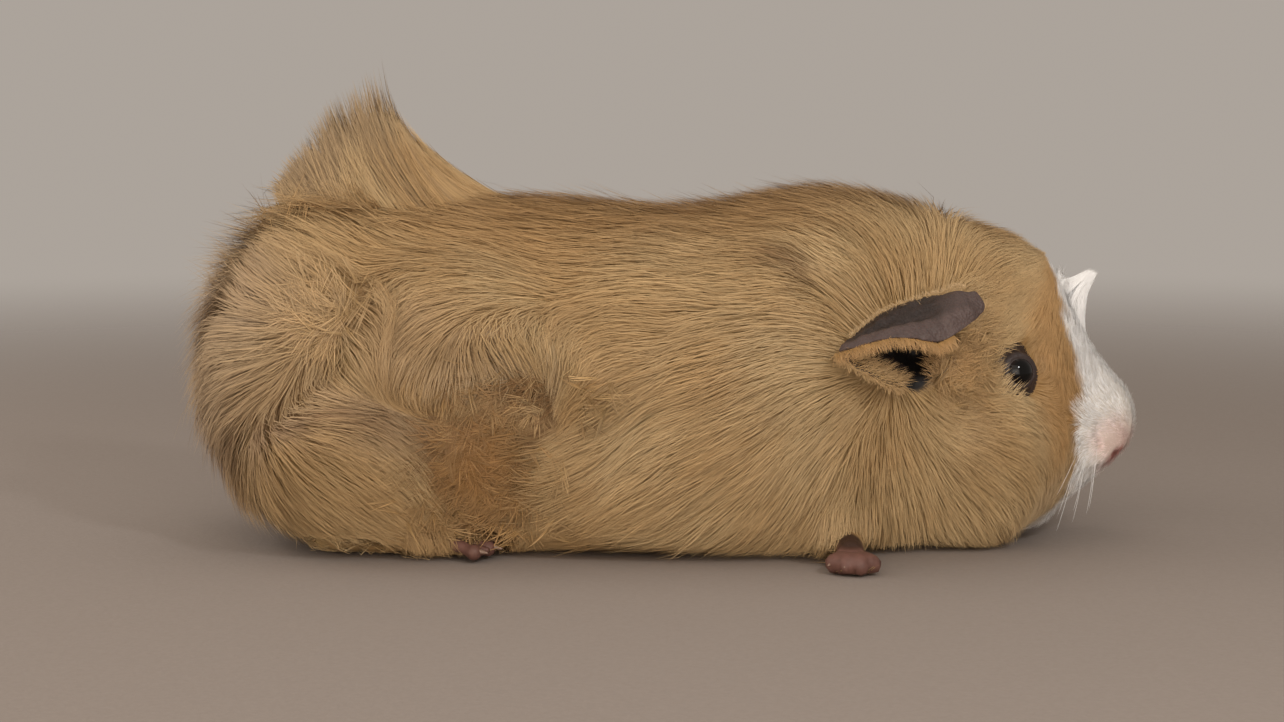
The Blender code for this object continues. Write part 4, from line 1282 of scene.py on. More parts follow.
number = int(CREST_HAIRS * GIVE)
along = rng.random(number) ** 0.75
across = rng.uniform(-1, 1, number)
root_x = -93 + 63 * along
start = drop_on(root_x, across * np.interp(root_x, [-93, -72, -45, -30], [13, 25, 20, 9]))
crest_lock = np.floor(along * 16) * 31 + np.floor(across * 6 + 0.5 * along) * 17
lock_a, lock_b = patch_noise(crest_lock, 0.3), patch_noise(crest_lock, 1.7)
place = np.clip(along * 1.3 + 0.10 * (lock_a - 0.5) + rng.normal(0, 0.05, number), 0, 1)
end_x = np.interp(place, [0, 0.25, 0.5, 0.75, 1], CREST_ENDS[:, 0])
end_z = np.interp(place, [0, 0.25, 0.5, 0.75, 1], CREST_ENDS[:, 1])
end = np.column_stack([end_x, across * (1.6 + 9 * (1 - place)), end_z])
lean = 0.12 + 0.24 * (1 - place)
pull_height = 87.5 + 3.0 * place - 1.5 * across ** 2 + 2.0 * (lock_b - 0.5)
pull = np.column_stack([end_x + (root_x - end_x) * lean, start[:, 1] * 0.42, pull_height])
reach = (0.42 + 0.26 * lock_b + 0.46 * rng.random(number)) * (1 - 0.30 * across ** 2)
reach = np.clip(reach * (1 - 0.42 * np.clip((root_x + 54) / 24, 0, 1)), 0.25, 1.0)
first, last = cut_bows(start, pull, end, reach)
last += rng.normal(0, 0.6, (number, 3)) * (1.5 - place)[:, None] + (lock_a - 0.5)[:, None] * [2.0, 2.4, 0.8]
paths = bows(start - [0, 0, 0.5], first, last, CREST_STEPS)
outward = np.column_stack([0.5 * (along - 0.7), np.clip(across * 2.5, -1, 1), np.full(number, 0.4)])
normals = steady(outward, CREST_STEPS)
blades = blades_of(paths, normals, CREST_WIDTH * rng.uniform(0.7, 1.25, number), rng.uniform(-0.45, 0.45, number))
shade = 1.8 * (lock_a - 0.5) + 1.6 * strand_noise(start, 1.4) + rng.normal(0, 0.5, number)
tan_place = start + [0, 0, 26]  # takes the markings found 26 mm above its root
crest = write_hair("coat_crest", blades, face_share(start), tan_place, np.column_stack([shade, reach]))
finish_coat(crest, "buff_coat", "rump_tuft")

# %% [markdown]
# ## The forelock
# The blaze hair runs up the nose and sweeps off the forehead in one small white curl, like a
# horn that leans forward. Its hairs leave the skin over a patch and bend to one tip.

# %% Forelock
FORELOCK_HAIRS = 3200
FORELOCK_TIP = np.array([105.8, 0.0, 66.2])
number = int(FORELOCK_HAIRS * GIVE)
radius = rng.random(number) ** 0.5
turn = rng.uniform(0, 2 * math.pi, number)
u, v = radius * np.cos(turn), radius * np.sin(turn)
start = drop_on(98.6 + u * 5.6, v * 5.4)
pull = np.column_stack([98.7 + u * 3.4, v * 3.4, np.full(number, 60.5)])
end = FORELOCK_TIP + np.column_stack([u * 0.9, v * 0.8, -0.4 * u])
first, last = cut_bows(start, pull, end, 0.45 + 0.55 * rng.random(number) ** 0.7)
last += rng.normal(0, 0.22, (number, 3))
paths = bows(start - [0, 0, 0.4], first, last, 5)
normals = steady(np.column_stack([0.2 + 0.2 * u, np.where(v > 0.3, 0.8, -0.9), np.full(number, 0.5)]), 5)
blades = blades_of(paths, normals, 0.18 * rng.uniform(0.7, 1.2, number), rng.uniform(-0.4, 0.4, number))
look = np.column_stack([rng.normal(0, 0.5, number), radius])
blaze_place = np.column_stack([np.full(number, 106.0), v, np.full(number, 50.0)])  # where the coat is white
forelock = write_hair("coat_forelock", blades, face_share(start), blaze_place, look)
finish_coat(forelock, "white_coat", "forelock")

# %% [markdown]
# The hair of the wrists and of the thigh's front hangs over the paws, so that only the toes show.

# %% Hair over the paws
PAW_HAIRS = 620
OVER_PAWS = [  # roots' ends along, roots' heights, how far out, tips' heights, drift along
    (35.0, 48.5, 9.0, 17.0, 5.2, 3.0, 5.6, -1.5), (-64.0, -47.0, 5.0, 12.0, 2.4, 0.4, 2.4, 3.5)]
paths, paw_roots = [], []
for side in (-1, 1):
    for low_x, high_x, low_z, high_z, reach_out, tip_low, tip_high, drift in OVER_PAWS:
        for i in range(int(PAW_HAIRS * max(GIVE, 0.5))):
            root = from_side(skin_tree, rng.uniform(low_x, high_x), rng.uniform(low_z, high_z)) * [1, side, 1]
            out = reach_out * rng.uniform(0.6, 1.1)
            tip = np.array([root[0] + rng.normal(drift, 1.4), root[1] + side * out, rng.uniform(tip_low, tip_high)])
            pull = root + [0.3 * drift, side * out * 0.9, -0.25 * (root[2] - tip[2])]
            paw_roots.append(root)
            paths.append([root, pull, tip])
paths, paw_roots = np.array(paths), np.array(paw_roots)
sew_bows("hair_at_paws", paths, paw_roots, facing_side(paw_roots, -0.1, 0.15),
         0.16 * rng.uniform(0.7, 1.2, len(paths)), 0.8,
         lambda number: 1.2 * strand_noise(paw_roots) + rng.normal(-0.3, 0.5, number))

# %% [markdown]
# ## Whiskers
# Pale stiff bristles fan out from the upper lip, backwards and down.

# %% Whiskers
WHISKER_WIDTH = 0.10
WHISKER_STEPS = 8
paths, whisker_roots = [], []
for side in (-1, 1):
    for row in range(3):
        for step in range(3):
            x, z = 104.5 - 2.4 * step - 0.4 * row, 23.5 - 2.1 * row
            root = from_side(skin_tree, x, z) * [1, side, 1]
            length = 11 + 2.5 * step + rng.uniform(-2, 2)
            fall = -0.45 - 0.25 * row + rng.uniform(-0.1, 0.1)
            way = unit(np.array([-0.12 - 0.12 * step, side * 0.7, fall]))
            whisker_roots.append(root)
            paths.append([root, root + way * length * 0.55, root + way * length + np.array([-1.5, 0, -2.5])])
paths, whisker_roots = np.array(paths), np.array(whisker_roots)
number = len(paths)
paths = bows(paths[:, 0], paths[:, 1], paths[:, 2], WHISKER_STEPS)
normals = steady(np.tile([0.3, 0.0, 1.0], (number, 1)), WHISKER_STEPS)
blades = blades_of(paths, normals, np.full(number, WHISKER_WIDTH), np.zeros(number), tip_share=0.3)
blaze_place = np.tile([106.0, 0, 50.0], (number, 1))
whiskers = write_hair("whiskers", blades, face_share(whisker_roots), blaze_place, np.ones((number, 2)))
finish_coat(whiskers, "white_coat")

# %% [markdown]
# ## Eyes
# A guinea pig's eye is a dark ball, nearly all iris and pupil, with a wet clear front that
# bulges a little. It starts as a fine sphere whose front points are drawn outwards.

# %% Eyeballs
EYE_RADIUS = 5.5
GAZE = Vector((0.33, 0.92, 0.17)).normalized()


def eyeball(side, name):
    gaze = Vector((GAZE.x, side * GAZE.y, GAZE.z))
    centre = Vector((EYE_CENTRE[0], side * EYE_CENTRE[1], EYE_CENTRE[2]))
    bpy.ops.object.select_all(action="DESELECT")
    bpy.ops.mesh.primitive_uv_sphere_add(segments=64, ring_count=40, radius=EYE_RADIUS * MM)
    obj = bpy.context.object
    obj.name = obj.data.name = name
    obj.rotation_euler = gaze.to_track_quat("Z", "Y").to_euler()
    obj.location = centre * MM
    bpy.ops.object.transform_apply(location=True, rotation=True, scale=True)
    points = coords(obj.data)
    towards = unit(points - np.array(centre))
    facing = np.clip((towards @ np.array(gaze) - 0.8) / 0.2, 0, 1)
    set_coords(obj.data, points + towards * (0.3 * facing ** 2 * (3 - 2 * facing))[:, None])
    bpy.ops.object.shade_smooth()
    return obj, gaze, centre


# Wet cornea over a near-black iris: sharp, bright highlights on a dark warm ground.
def eye_material(name, gaze, centre):
    material, tree, shader = new_material(name)
    place = add_node(tree, "ShaderNodeTexCoord").outputs["Object"]
    apart = add_node(tree, "ShaderNodeVectorMath", {"operation": "SUBTRACT"}, {
        0: place, 1: tuple(centre * MM)})
    along = add_node(tree, "ShaderNodeVectorMath", {"operation": "DOT_PRODUCT"}, {
        0: apart.outputs[0], 1: tuple(gaze / (EYE_RADIUS * MM))})
    fibres = add_node(tree, "ShaderNodeTexNoise", inputs={"Vector": place, "Scale": 1400.0, "Detail": 2.0})
    iris = add_node(tree, "ShaderNodeMix", {"data_type": "RGBA"}, {
        "Factor": fibres.outputs["Fac"], 6: tint("#0E0806"), 7: tint("#1E120D")})
    rim = add_node(tree, "ShaderNodeMapRange", {"interpolation_type": "SMOOTHSTEP"}, {
        "Value": along.outputs["Value"], "From Min": 0.70, "From Max": 0.80})
    pupil = add_node(tree, "ShaderNodeMapRange", {"interpolation_type": "SMOOTHSTEP"}, {
        "Value": along.outputs["Value"], "From Min": 0.90, "From Max": 0.94})
    ring = add_node(tree, "ShaderNodeMix", {"data_type": "RGBA"}, {
        "Factor": rim.outputs[0], 6: tint("#1A100D"), 7: iris.outputs[2]})
    final = add_node(tree, "ShaderNodeMix", {"data_type": "RGBA"}, {
        "Factor": pupil.outputs[0], 6: ring.outputs[2], 7: tint("#040303")})
    tree.links.new(final.outputs[2], shader.inputs["Base Color"])
    shader.inputs["Roughness"].default_value = 0.22
    shader.inputs["IOR"].default_value = 1.38
    shader.inputs["Specular IOR Level"].default_value = 0.0
    shader.inputs["Coat Weight"].default_value = 1.0
    shader.inputs["Coat Roughness"].default_value = 0.03
    shader.inputs["Coat IOR"].default_value = 1.38
    return material


for side_name, side in (("left", 1), ("right", -1)):
    ball, gaze, centre = eyeball(side, "eyeball_" + side_name)
    ball.data.materials.append(eye_material("wet_eye_" + side_name, gaze, centre))
    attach(ball, "root")
    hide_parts("eye_" + side_name)
print("eyeballs", EYE_RADIUS * 2, "mm across")

# %% [markdown]
# ## Eyelids
# The lids are bare dark skin that hugs the ball. They are rings about the gaze: the first lies
# just inside the opening, the next make the rounded margin, then come the crease and the outer
# slope, which sinks below the coat. The opening is wider than high and the upper lid is heavier.

# %% Lids
LID_HUG = [  # degrees beyond the margin, height over the ball's radius, extra height above the eye
    (-7, -0.10, 0.0), (-1.5, 0.06, 0.0), (0, 0.24, 0.05), (3, 0.40, 0.1), (7, 0.46, 0.2), (12, 0.40, 0.3)]
LID_SLOPE = [(5.0, 1.05), (5.6, 0.65), (6.3, 0.30), (7.1, 0.05), (8.0, -0.5)]  # mm from the gaze, mm over the skin
LID_POINTS = 96
OPEN_WIDE, OPEN_UP, OPEN_DOWN = 39.0, 37.0, 38.0  # half angles of the opening in degrees
BACK_CORNER = 0.88 * math.pi  # where the lids are drawn out, as an angle from the front


def eyelids(side, name):
    gaze = Vector((GAZE.x, side * GAZE.y, GAZE.z))
    centre = Vector((EYE_CENTRE[0], side * EYE_CENTRE[1], EYE_CENTRE[2]))
    forward = (Vector((1, 0, 0)) - gaze * gaze.x).normalized()
    upward = (Vector((0, 0, 1)) - gaze * gaze.z - forward * forward.z).normalized()
    rings = []
    for beyond, height, brow in LID_HUG:
        ring = []
        for i in range(LID_POINTS):
            turn = 2 * math.pi * i / LID_POINTS
            c, up = math.cos(turn), math.sin(turn)
            half = OPEN_UP if up > 0 else OPEN_DOWN
            opening = 1 / math.sqrt((c / OPEN_WIDE) ** 2 + (up / half) ** 2)
            corner_pull = 7.0 * math.exp(-((turn - BACK_CORNER) / 0.34) ** 2)
            angle = math.radians(opening + beyond + corner_pull * min(max((beyond + 3) / 12, 0), 1))
            radius = EYE_RADIUS + height + brow * max(up, 0) ** 0.7
            radius += 0.07 * math.sin(5 * turn + beyond) * (1 if beyond > 2 else 0)
            around = forward * c + upward * up
            ring.append(centre + (gaze * math.cos(angle) + around * math.sin(angle)) * radius)
        rings.append(ring)
    for far, height in LID_SLOPE:
        ring = []
        for i in range(LID_POINTS):
            turn = 2 * math.pi * i / LID_POINTS
            around = forward * math.cos(turn) + upward * math.sin(turn)
            corner = math.exp(-((turn - BACK_CORNER) / 0.30) ** 2)
            spot = centre + around * far * (1 + 0.20 * corner + 0.04 * max(math.sin(turn), 0))
            hit = skin_tree.ray_cast(spot + gaze * 14, -gaze)[0]
            ring.append(hit + gaze * (height + 0.08 * math.sin(6 * turn + far)))
        rings.append(ring)
    verts = [spot * MM for ring in rings for spot in ring]
    faces = []
    for ring in range(len(rings) - 1):
        for i in range(LID_POINTS):
            j = (i + 1) % LID_POINTS
            a, b = ring * LID_POINTS, (ring + 1) * LID_POINTS
            faces.append((a + i, a + j, b + j, b + i))
    mesh = bpy.data.meshes.new(name)
    mesh.from_pydata(verts, [], faces)
    obj = bpy.data.objects.new(name, mesh)
    bpy.context.scene.collection.objects.link(obj)
    only(obj)
    bpy.ops.object.mode_set(mode="EDIT")
    bpy.ops.mesh.select_all(action="SELECT")
    bpy.ops.mesh.normals_make_consistent(inside=False)
    bpy.ops.object.mode_set(mode="OBJECT")
    use_modifier(obj, "SUBSURF", levels=1, render_levels=1)
    bpy.ops.object.shade_smooth()
    return obj


# Bare lid skin: thin, mauve-brown and slightly moist, finely wrinkled.
lid_skin, tree, shader = new_material("bare_lid_skin")
place = add_node(tree, "ShaderNodeTexCoord").outputs["Object"]
mottle = add_node(tree, "ShaderNodeTexNoise", inputs={"Vector": place, "Scale": 700.0, "Detail": 3.0})
shade = add_node(tree, "ShaderNodeMix", {"data_type": "RGBA"}, {
    "Factor": mottle.outputs["Fac"], 6: tint("#1F1512"), 7: tint("#402F2A")})
wrinkle = add_node(tree, "ShaderNodeTexNoise", inputs={"Vector": place, "Scale": 1600.0, "Detail": 4.0})
bump = add_node(tree, "ShaderNodeBump", inputs={
    "Strength": 0.7, "Distance": 0.2 * MM, "Height": wrinkle.outputs["Fac"]})
tree.links.new(shade.outputs[2], shader.inputs["Base Color"])
tree.links.new(bump.outputs["Normal"], shader.inputs["Normal"])
shader.inputs["Roughness"].default_value = 0.5
for side_name, side in (("left", 1), ("right", -1)):
    lids = eyelids(side, "eyelids_" + side_name)
    lids.data.materials.append(lid_skin)
    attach(lids, "root")
print("eyelids:", len(LID_HUG) + len(LID_SLOPE), "rings each")

# %% [markdown]
# The hair round the eye is short and lies up and forward. Some pale ones from below and behind
# cross the lower corner of the ball.

# %% Hair at the eye
EYE_HAIRS = 110
paths, eye_roots = [], []
for side in (-1, 1):
    for i in range(int(EYE_HAIRS * max(GIVE, 0.6))):
        turn = math.radians(rng.uniform(182, 262))
        far = rng.uniform(5.8, 8.4)
        x, z = EYE_CENTRE[0] + 1.4 + far * math.cos(turn), EYE_CENTRE[2] + 0.7 + far * math.sin(turn)
        root = from_side(skin_tree, x, z) * [1, side, 1]
        inward = unit(np.array([EYE_CENTRE[0] + 1.4 - x, 0, EYE_CENTRE[2] - z]))
        way = unit(np.array([0.5, 0, 0.6]) + inward * 0.4 + rng.normal(0, 0.12, 3) * [1, 0, 1])
        length = rng.uniform(3.0, 5.4)
        middle = root + way * length * 0.5 + np.array([0, side * 1.8, 0])
        tip = root + way * length + np.array([0, side * 1.2, 0])
        for spot in (middle, tip):  # hair can't pass through the ball
            apart = spot - np.array(EYE_CENTRE) * [1, side, 1]
            gap = np.linalg.norm(apart)
            if gap < EYE_RADIUS + 0.8:
                spot += apart / gap * (EYE_RADIUS + 0.8 - gap)
        eye_roots.append(root)
        paths.append([root, middle, tip])
paths, eye_roots = np.array(paths), np.array(eye_roots)
sew_bows("hair_at_eyes", paths, eye_roots, facing_side(eye_roots, 0.1, 0.3),
         0.12 * rng.uniform(0.7, 1.2, len(paths)), 0.6, lambda number: rng.normal(0.2, 1.7, number))

# %% [markdown]
# Between ear and eye, in the flank hollow and under the hip, short hair lies every way, in small
# tangled tufts with dark gaps. They are sown over the coat as bows that stand up and fall back.

# %% Tangles
TANGLES = [  # middle and spread along and up, number a side, way in degrees, length, standing, width, shade
    ((68.5, 47.0), (3.4, 4.6), 1500, 15, (3.0, 6.0), (0.5, 1.6), 0.19, -0.6),
    ((-43.5, 21.0), (7.0, 8.5), 3600, 215, (5.0, 9.5), (0.3, 1.5), 0.21, 0.1),
    ((-31.0, 40.0), (7.0, 2.6), 1200, 250, (5.0, 9.0), (0.3, 1.4), 0.20, -0.6),
    ((-79.5, 58.0), (3.6, 3.6), 900, 190, (7.0, 12.0), (0.4, 2.4), 0.20, 0.1),
]
TANGLE_ROOT = 1.6  # mm below the outer form
TUFT_HAIRS = 5
paths, tangle_roots, tangle_look, tangle_widths = [], [], [], []
for side in (-1, 1):
    for middle_at, spread_by, many, mean_way, long, standing, wide, shade_mid in TANGLES:
        for i in range(int(many * GIVE / TUFT_HAIRS)):
            x, z = rng.normal(middle_at[0], spread_by[0]), rng.normal(middle_at[1], spread_by[1])
            tuft = from_side(form_tree, x, max(z, 4.0))
            if np.linalg.norm(tuft - EYE_CENTRE) < 9.0 or np.linalg.norm(tuft - EAR_HOLE) < 7.5:
                continue
            turn, shade_of_tuft = rng.normal(math.radians(mean_way), 0.9), rng.normal(shade_mid, 1.5)
            for _ in range(TUFT_HAIRS):
                root = (tuft + rng.normal(0, 0.4, 3) * [1, 0, 1] - [0, TANGLE_ROOT, 0]) * [1, side, 1]
                angle = turn + rng.normal(0, 0.16)
                way = np.array([math.cos(angle), 0, math.sin(angle)])
                length, stand = rng.uniform(*long), side * rng.uniform(*standing)
                tangle_roots.append(root)
                tangle_look.append(shade_of_tuft + rng.normal(0, 0.7))
                tangle_widths.append(wide * rng.uniform(0.7, 1.2))
                middle = root + way * length * 0.5 + [0, side * TANGLE_ROOT + stand * 1.2, 0]
                tip = from_side(form_tree, *(root + way * length)[[0, 2]]) * [1, side, 1]
                paths.append([root, middle, tip + [0, stand * rng.uniform(-0.4, 0.8), 0]])
paths, tangle_roots = np.array(paths), np.array(tangle_roots)
sew_bows("hair_in_tangles", paths, tangle_roots, read_grid(outwards, tangle_roots),
         np.array(tangle_widths), 0.8, lambda number: tangle_look)

# %% [markdown]
# ## Ears
# The ear is a thin sheet, folded over like a petal: it stands out from the head, dips into a
# trough behind its top edge, rolls over a ridge and hangs over the ear hole, with a lobe in
# front. Its lower back edge is a second, smaller fold, a cup that runs down to the notch under
# the hole. Two cages of columns are subdivided and given their thickness.

# %% Ear sheet
EAR_TOP = [  # columns from back to front, each: head, top edge, trough, ridge, hanging edge; left side, mm
    [(42.5, 31, 50.5), (41.2, 41, 53.2), (40.8, 43.0, 51.9), (39.0, 45.5, 51.9), (37.2, 47.0, 50.0)],
    [(45.0, 29, 54.0), (44.7, 39.5, 55.9), (45.0, 42.5, 53.2), (44.6, 46.4, 54.8), (43.4, 48.8, 52.2)],
    [(49.0, 28, 57.0), (48.2, 39.0, 58.6), (49.6, 42.2, 54.4), (50.2, 46.6, 56.5), (49.4, 49.2, 54.0)],
    [(53.0, 27.5, 59.0), (52.6, 38.8, 60.6), (54.6, 42.2, 55.4), (55.6, 46.6, 57.8), (55.4, 49.2, 53.8)],
    [(58.0, 27.5, 60.5), (57.8, 38.4, 62.2), (59.0, 42.0, 56.6), (60.2, 46.2, 58.2), (60.6, 48.6, 52.4)],
    [(62.0, 28.0, 60.5), (62.2, 38.2, 63.2), (62.2, 41.4, 60.0), (63.6, 45.4, 59.8), (65.2, 47.0, 54.8)],
    [(65.5, 28.0, 59.0), (66.0, 38.0, 64.8), (66.4, 41.2, 62.8), (67.6, 43.8, 61.0), (68.8, 44.6, 57.2)],
    [(67.5, 28.0, 56.5), (69.6, 37.4, 64.0), (70.8, 39.8, 63.0), (72.0, 41.2, 61.2), (71.8, 41.8, 59.2)],
]
EAR_CUP = [  # columns from the back tip to the notch, each: rim, wall, floor by the hole
    [(37.4, 46.6, 50.0), (40.8, 42.0, 50.6), (46.0, 34.5, 51.6)],
    [(40.4, 46.4, 47.6), (43.2, 41.6, 48.8), (48.0, 34.0, 50.4)],
    [(44.4, 45.2, 45.2), (46.4, 40.4, 47.0), (50.0, 33.2, 49.0)],
    [(48.4, 43.4, 43.2), (49.6, 39.0, 45.4), (52.0, 32.6, 47.4)],
    [(51.8, 41.2, 41.6), (52.6, 37.4, 43.8), (54.0, 32.2, 46.0)],
    [(54.2, 39.0, 41.2), (54.8, 35.6, 42.8), (56.0, 31.6, 44.6)],
]
EAR_THICKNESS = 0.8


def ear_sheet(cage, side, name):
    rows = len(cage[0])
    verts = [(x * MM, side * y * MM, z * MM) for column in cage for x, y, z in column]
    faces = []
    for i in range(len(cage) - 1):
        for j in range(rows - 1):
            a, b = i * rows + j, (i + 1) * rows + j
            faces.append((a, b, b + 1, a + 1))
    mesh = bpy.data.meshes.new(name)
    mesh.from_pydata(verts, [], faces)
    obj = bpy.data.objects.new(name, mesh)
    bpy.context.scene.collection.objects.link(obj)
    use_modifier(obj, "SUBSURF", levels=3, render_levels=3)
    rim = coords(obj.data)
    ripple = 0.22 * waviness(np.column_stack([rim[:, 0], np.abs(rim[:, 1]), rim[:, 2]]), 4, 11)
    set_coords(obj.data, rim + normals_of(obj.data) * ripple[:, None])
    use_modifier(obj, "SOLIDIFY", thickness=EAR_THICKNESS * MM, offset=0.0, use_even_offset=True)
    use_modifier(obj, "BEVEL", width=0.26 * MM, segments=2, limit_method="ANGLE", angle_limit=math.radians(60))
    only(obj)
    bpy.ops.object.mode_set(mode="EDIT")
    bpy.ops.mesh.select_all(action="SELECT")
    bpy.ops.mesh.normals_make_consistent(inside=False)
    bpy.ops.object.mode_set(mode="OBJECT")
    bpy.ops.object.shade_smooth()
    return obj


# Ear leather: thin bare skin, dark brown in the trough and the cup, there partly painted shade, and mauve on
# the lobe and ridge, the ridge's mauve partly a painted highlight, with blotches, fine pores and a faint waxy gloss.
ear_leather, tree, shader = new_material("bare_ear_leather")
place = add_node(tree, "ShaderNodeTexCoord").outputs["Object"]
parted = add_node(tree, "ShaderNodeSeparateXYZ", inputs={0: place})
side_y = add_node(tree, "ShaderNodeMath", {"operation": "ABSOLUTE"}, {0: parted.outputs["Y"]})
mottle = add_node(tree, "ShaderNodeTexNoise", inputs={
    "Vector": place, "Scale": 420.0, "Detail": 4.0, "Roughness": 0.7})
forward = add_node(tree, "ShaderNodeMapRange", {"interpolation_type": "SMOOTHSTEP"}, {
    "Value": parted.outputs["X"], "From Min": 59 * MM, "From Max": 67 * MM, "To Min": 0.0, "To Max": 0.65})
# Painted highlight, partly the skin's own mauve: the rolled ridge is paler.
ridge = add_node(tree, "ShaderNodeMapRange", {"interpolation_type": "SMOOTHSTEP"}, {
    "Value": side_y.outputs[0], "From Min": 43.8 * MM, "From Max": 46.4 * MM, "To Min": 0.0, "To Max": 0.65})
lobe_and_ridge_highlight_share = add_node(tree, "ShaderNodeMath", {"operation": "ADD"}, {0: forward.outputs[0], 1: ridge.outputs[0]})
mauve = add_node(tree, "ShaderNodeMath", {"operation": "MULTIPLY_ADD"}, {
    0: mottle.outputs["Fac"], 1: 0.9, 2: lobe_and_ridge_highlight_share.outputs[0]})
mauve_share = add_node(tree, "ShaderNodeMapRange", inputs={
    "Value": mauve.outputs[0], "From Min": 0.35, "From Max": 1.3})
shade = add_node(tree, "ShaderNodeMix", {"data_type": "RGBA"}, {
    "Factor": mauve_share.outputs[0], 6: tint("#20130D"), 7: tint("#574642")})
pores = add_node(tree, "ShaderNodeTexVoronoi", inputs={"Vector": place, "Scale": 1500.0})
wrinkle = add_node(tree, "ShaderNodeTexNoise", inputs={"Vector": place, "Scale": 900.0, "Detail": 4.0})
relief = add_node(tree, "ShaderNodeMath", {"operation": "ADD"}, {
    0: pores.outputs["Distance"], 1: wrinkle.outputs["Fac"]})
bump = add_node(tree, "ShaderNodeBump", inputs={
    "Strength": 0.8, "Distance": 0.25 * MM, "Height": relief.outputs[0]})
tree.links.new(shade.outputs[2], shader.inputs["Base Color"])
tree.links.new(bump.outputs["Normal"], shader.inputs["Normal"])
shader.inputs["Roughness"].default_value = 0.55
shader.inputs["Subsurface Weight"].default_value = 0.08
shader.inputs["Subsurface Radius"].default_value = (1.0, 0.35, 0.2)
shader.inputs["Subsurface Scale"].default_value = 0.6 * MM
for side_name, side in (("left", 1), ("right", -1)):
    name = "ear_leather_" + side_name
    ear = join([ear_sheet(EAR_TOP, side, name), ear_sheet(EAR_CUP, side, name + "_cup")], name)
    ear.data.materials.append(ear_leather)
    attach(ear, "root")
    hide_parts("ear_" + side_name)
    print(ear.name, len(ear.data.polygons), "faces")

# %% [markdown]
# Ears are thinly haired: a pale down on the top edge, a rusty fringe on the fold
# that hangs over the hole, a pale tuft in the cup, and longer hairs in front of the hole.

# %% Ear hair
EAR_HAIR = [  # name, number, cage, part of it, rows, way, length, spread, place its colour is from
    ("down", 420, EAR_TOP, (0.0, 0.95), (1, 1), (-0.3, -0.1, 0.9), 1.5, 0.5, (-62, 40, 58)),
    ("fringe", 1100, EAR_TOP, (0.0, 0.68), (4, 4), (0.4, -0.05, -0.9), 2.9, 0.32, (86, 12, 44)),
    ("tuft", 520, EAR_CUP, (0.15, 0.85), (0, 1), (0.85, 0.1, 0.40), 4.4, 0.28, (0, 40, 60)),
    ("rim", 500, EAR_CUP, (0.0, 0.95), (0, 0), (0.45, 0.2, -0.5), 2.2, 0.5, (0, 40, 60)),
]
EAR_FRONT_HAIRS = 450
paths, hair_roots, colour_roots = [], [], []
for side in (-1, 1):
    for name, many, cage, (low_end, high_end), (row_a, row_b), way, length, spread_by, colour_at in EAR_HAIR:
        for i in range(int(many * max(GIVE, 0.5))):
            at = (low_end + (high_end - low_end) * rng.random()) * (len(cage) - 1)
            column = min(int(at), len(cage) - 2)
            here = np.array(cage[column]) * (1 - at + column) + np.array(cage[column + 1]) * (at - column)
            down = rng.random()
            root = (here[row_a] * down + here[row_b] * (1 - down)) * [1, side, 1] + rng.normal(0, 0.15, 3)
            toward = unit(np.array(way) * [1, side, 1] + rng.normal(0, spread_by, 3))
            reach = length * rng.uniform(0.6, 1.15)
            hair_roots.append(root)
            colour_roots.append(np.array(colour_at) * [1, side, 1])
            paths.append([root, root + toward * reach * 0.5 + [0, side * 0.35, 0],
                          root + toward * reach + [0, 0, -0.12 * reach]])
    for i in range(int(EAR_FRONT_HAIRS * max(GIVE, 0.5))):
        x, z = rng.uniform(61.5, 66.0), rng.uniform(42.0, 54.0)
        root = from_side(skin_tree, x, z) * [1, side, 1]
        toward = unit(np.array([-0.6, side * 0.8, 0.35]) + rng.normal(0, 0.4, 3))
        reach = rng.uniform(2.5, 4.8)
        hair_roots.append(root)
        colour_roots.append(np.array((86, 12 * side, 44)))
        paths.append([root, root + toward * reach * 0.6 + [0, side * 1.0, 0],
                      root + toward * reach + [-0.6, -0.4 * side, 0.8]])
paths, hair_roots, colour_roots = np.array(paths), np.array(hair_roots), np.array(colour_roots, float)
sew_bows("hair_at_ears", paths, hair_roots, facing_side(hair_roots, 0.0, 0.35),
         0.11 * rng.uniform(0.7, 1.2, len(paths)), 0.8, lambda number: rng.normal(0.0, 1.2, number),
         colour_from=colour_roots, steps=3)

# %% [markdown]
# ## Claws
# A claw is a narrow cone that droops. One is drawn out from a small ring: the end face is
# extruded, shrunk and tipped down a few times and closed to a point. Its copies are carried to
# the toes.

# %% One claw
def one_claw():
    bpy.ops.object.select_all(action="DESELECT")
    bpy.ops.mesh.primitive_circle_add(vertices=10, radius=1.0, fill_type="NGON", rotation=(0, math.pi / 2, 0))
    obj = bpy.context.object
    bpy.ops.object.transform_apply(location=True, rotation=True, scale=True)
    bpy.ops.object.mode_set(mode="EDIT")
    bpy.ops.mesh.select_all(action="SELECT")
    for shrink, drop in ((0.94, 0.02), (0.86, -0.08), (0.78, -0.16), (0.66, -0.22), (0.45, -0.24)):
        bpy.ops.mesh.extrude_region_move(TRANSFORM_OT_translate={"value": (1.0, 0, drop)})
        bpy.ops.transform.resize(value=(shrink, shrink, shrink))
    bpy.ops.mesh.merge(type="CENTER")
    bpy.ops.mesh.select_all(action="SELECT")
    bpy.ops.mesh.normals_make_consistent(inside=False)
    bpy.ops.object.mode_set(mode="OBJECT")
    return obj


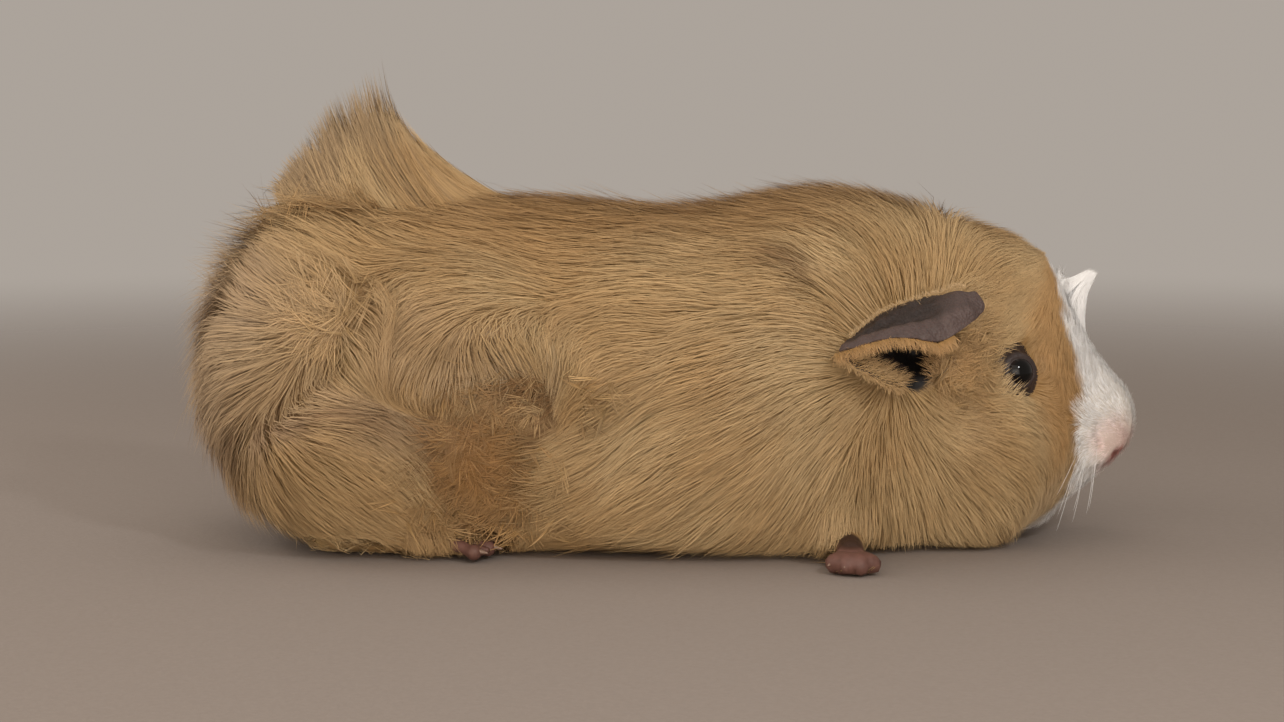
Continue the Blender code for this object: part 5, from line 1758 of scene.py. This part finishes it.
CLAW_STEPS = 5.0  # the pattern's own length, of a claw 1 in radius at the root
model_claw = one_claw()
claws = []
for paw, length, radius in ((FOREPAW, 3.6, 0.7), (HINDPAW, 4.6, 0.85)):
    for side in (-1, 1):
        palm = Vector((paw["palm"][0], side * paw["palm"][1], 0))
        for tip in paw["toes"]:
            toe = Vector((tip[0], side * tip[1], tip[2]))
            outward = Vector((toe.x - palm.x, toe.y - palm.y, 0)).normalized()
            if paw is HINDPAW:
                outward = (outward + Vector((1.2, 0, 0))).normalized()
            side_way = Vector((0, 0, 1)).cross(outward)
            claw = bpy.data.objects.new("claw", model_claw.data.copy())
            bpy.context.scene.collection.objects.link(claw)
            local = np.array([v.co for v in claw.data.vertices])
            start = toe - outward * 0.6 + Vector((0, 0, 0.45))
            placed = (np.array(start) + local[:, :1] * length / CLAW_STEPS * np.array(outward)
                      + local[:, 1:2] * radius * np.array(side_way) + local[:, 2:] * radius * [0, 0, 1])
            placed[:, 2] = np.maximum(placed[:, 2], 0.15)
            set_coords(claw.data, placed)
            claws.append(claw)
bpy.data.objects.remove(model_claw)
horn_claws = join(claws, "claws")
use_modifier(horn_claws, "SUBSURF", levels=1, render_levels=1)
bpy.ops.object.shade_smooth()
# Claw horn: keratin, pale brown and slightly see-through at the tip, finely grooved, glossy.
claw_horn, tree, shader = new_material("claw_horn")
place = add_node(tree, "ShaderNodeTexCoord").outputs["Object"]
grooves = add_node(tree, "ShaderNodeTexNoise", inputs={"Vector": place, "Scale": 900.0, "Detail": 3.0})
shade = add_node(tree, "ShaderNodeMix", {"data_type": "RGBA"}, {
    "Factor": grooves.outputs["Fac"], 6: tint("#6E5446"), 7: tint("#A58A78")})
bump = add_node(tree, "ShaderNodeBump", inputs={
    "Strength": 0.4, "Distance": 0.08 * MM, "Height": grooves.outputs["Fac"]})
tree.links.new(shade.outputs[2], shader.inputs["Base Color"])
tree.links.new(bump.outputs["Normal"], shader.inputs["Normal"])
shader.inputs["Roughness"].default_value = 0.32
horn_claws.data.materials.append(claw_horn)
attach(horn_claws, "root")
print("claws:", len(claws))

# %% [markdown]
# ## The pattern goes
# The outer form was only a pattern and goes.

# %% Remove the outer form
bpy.data.objects.remove(form)
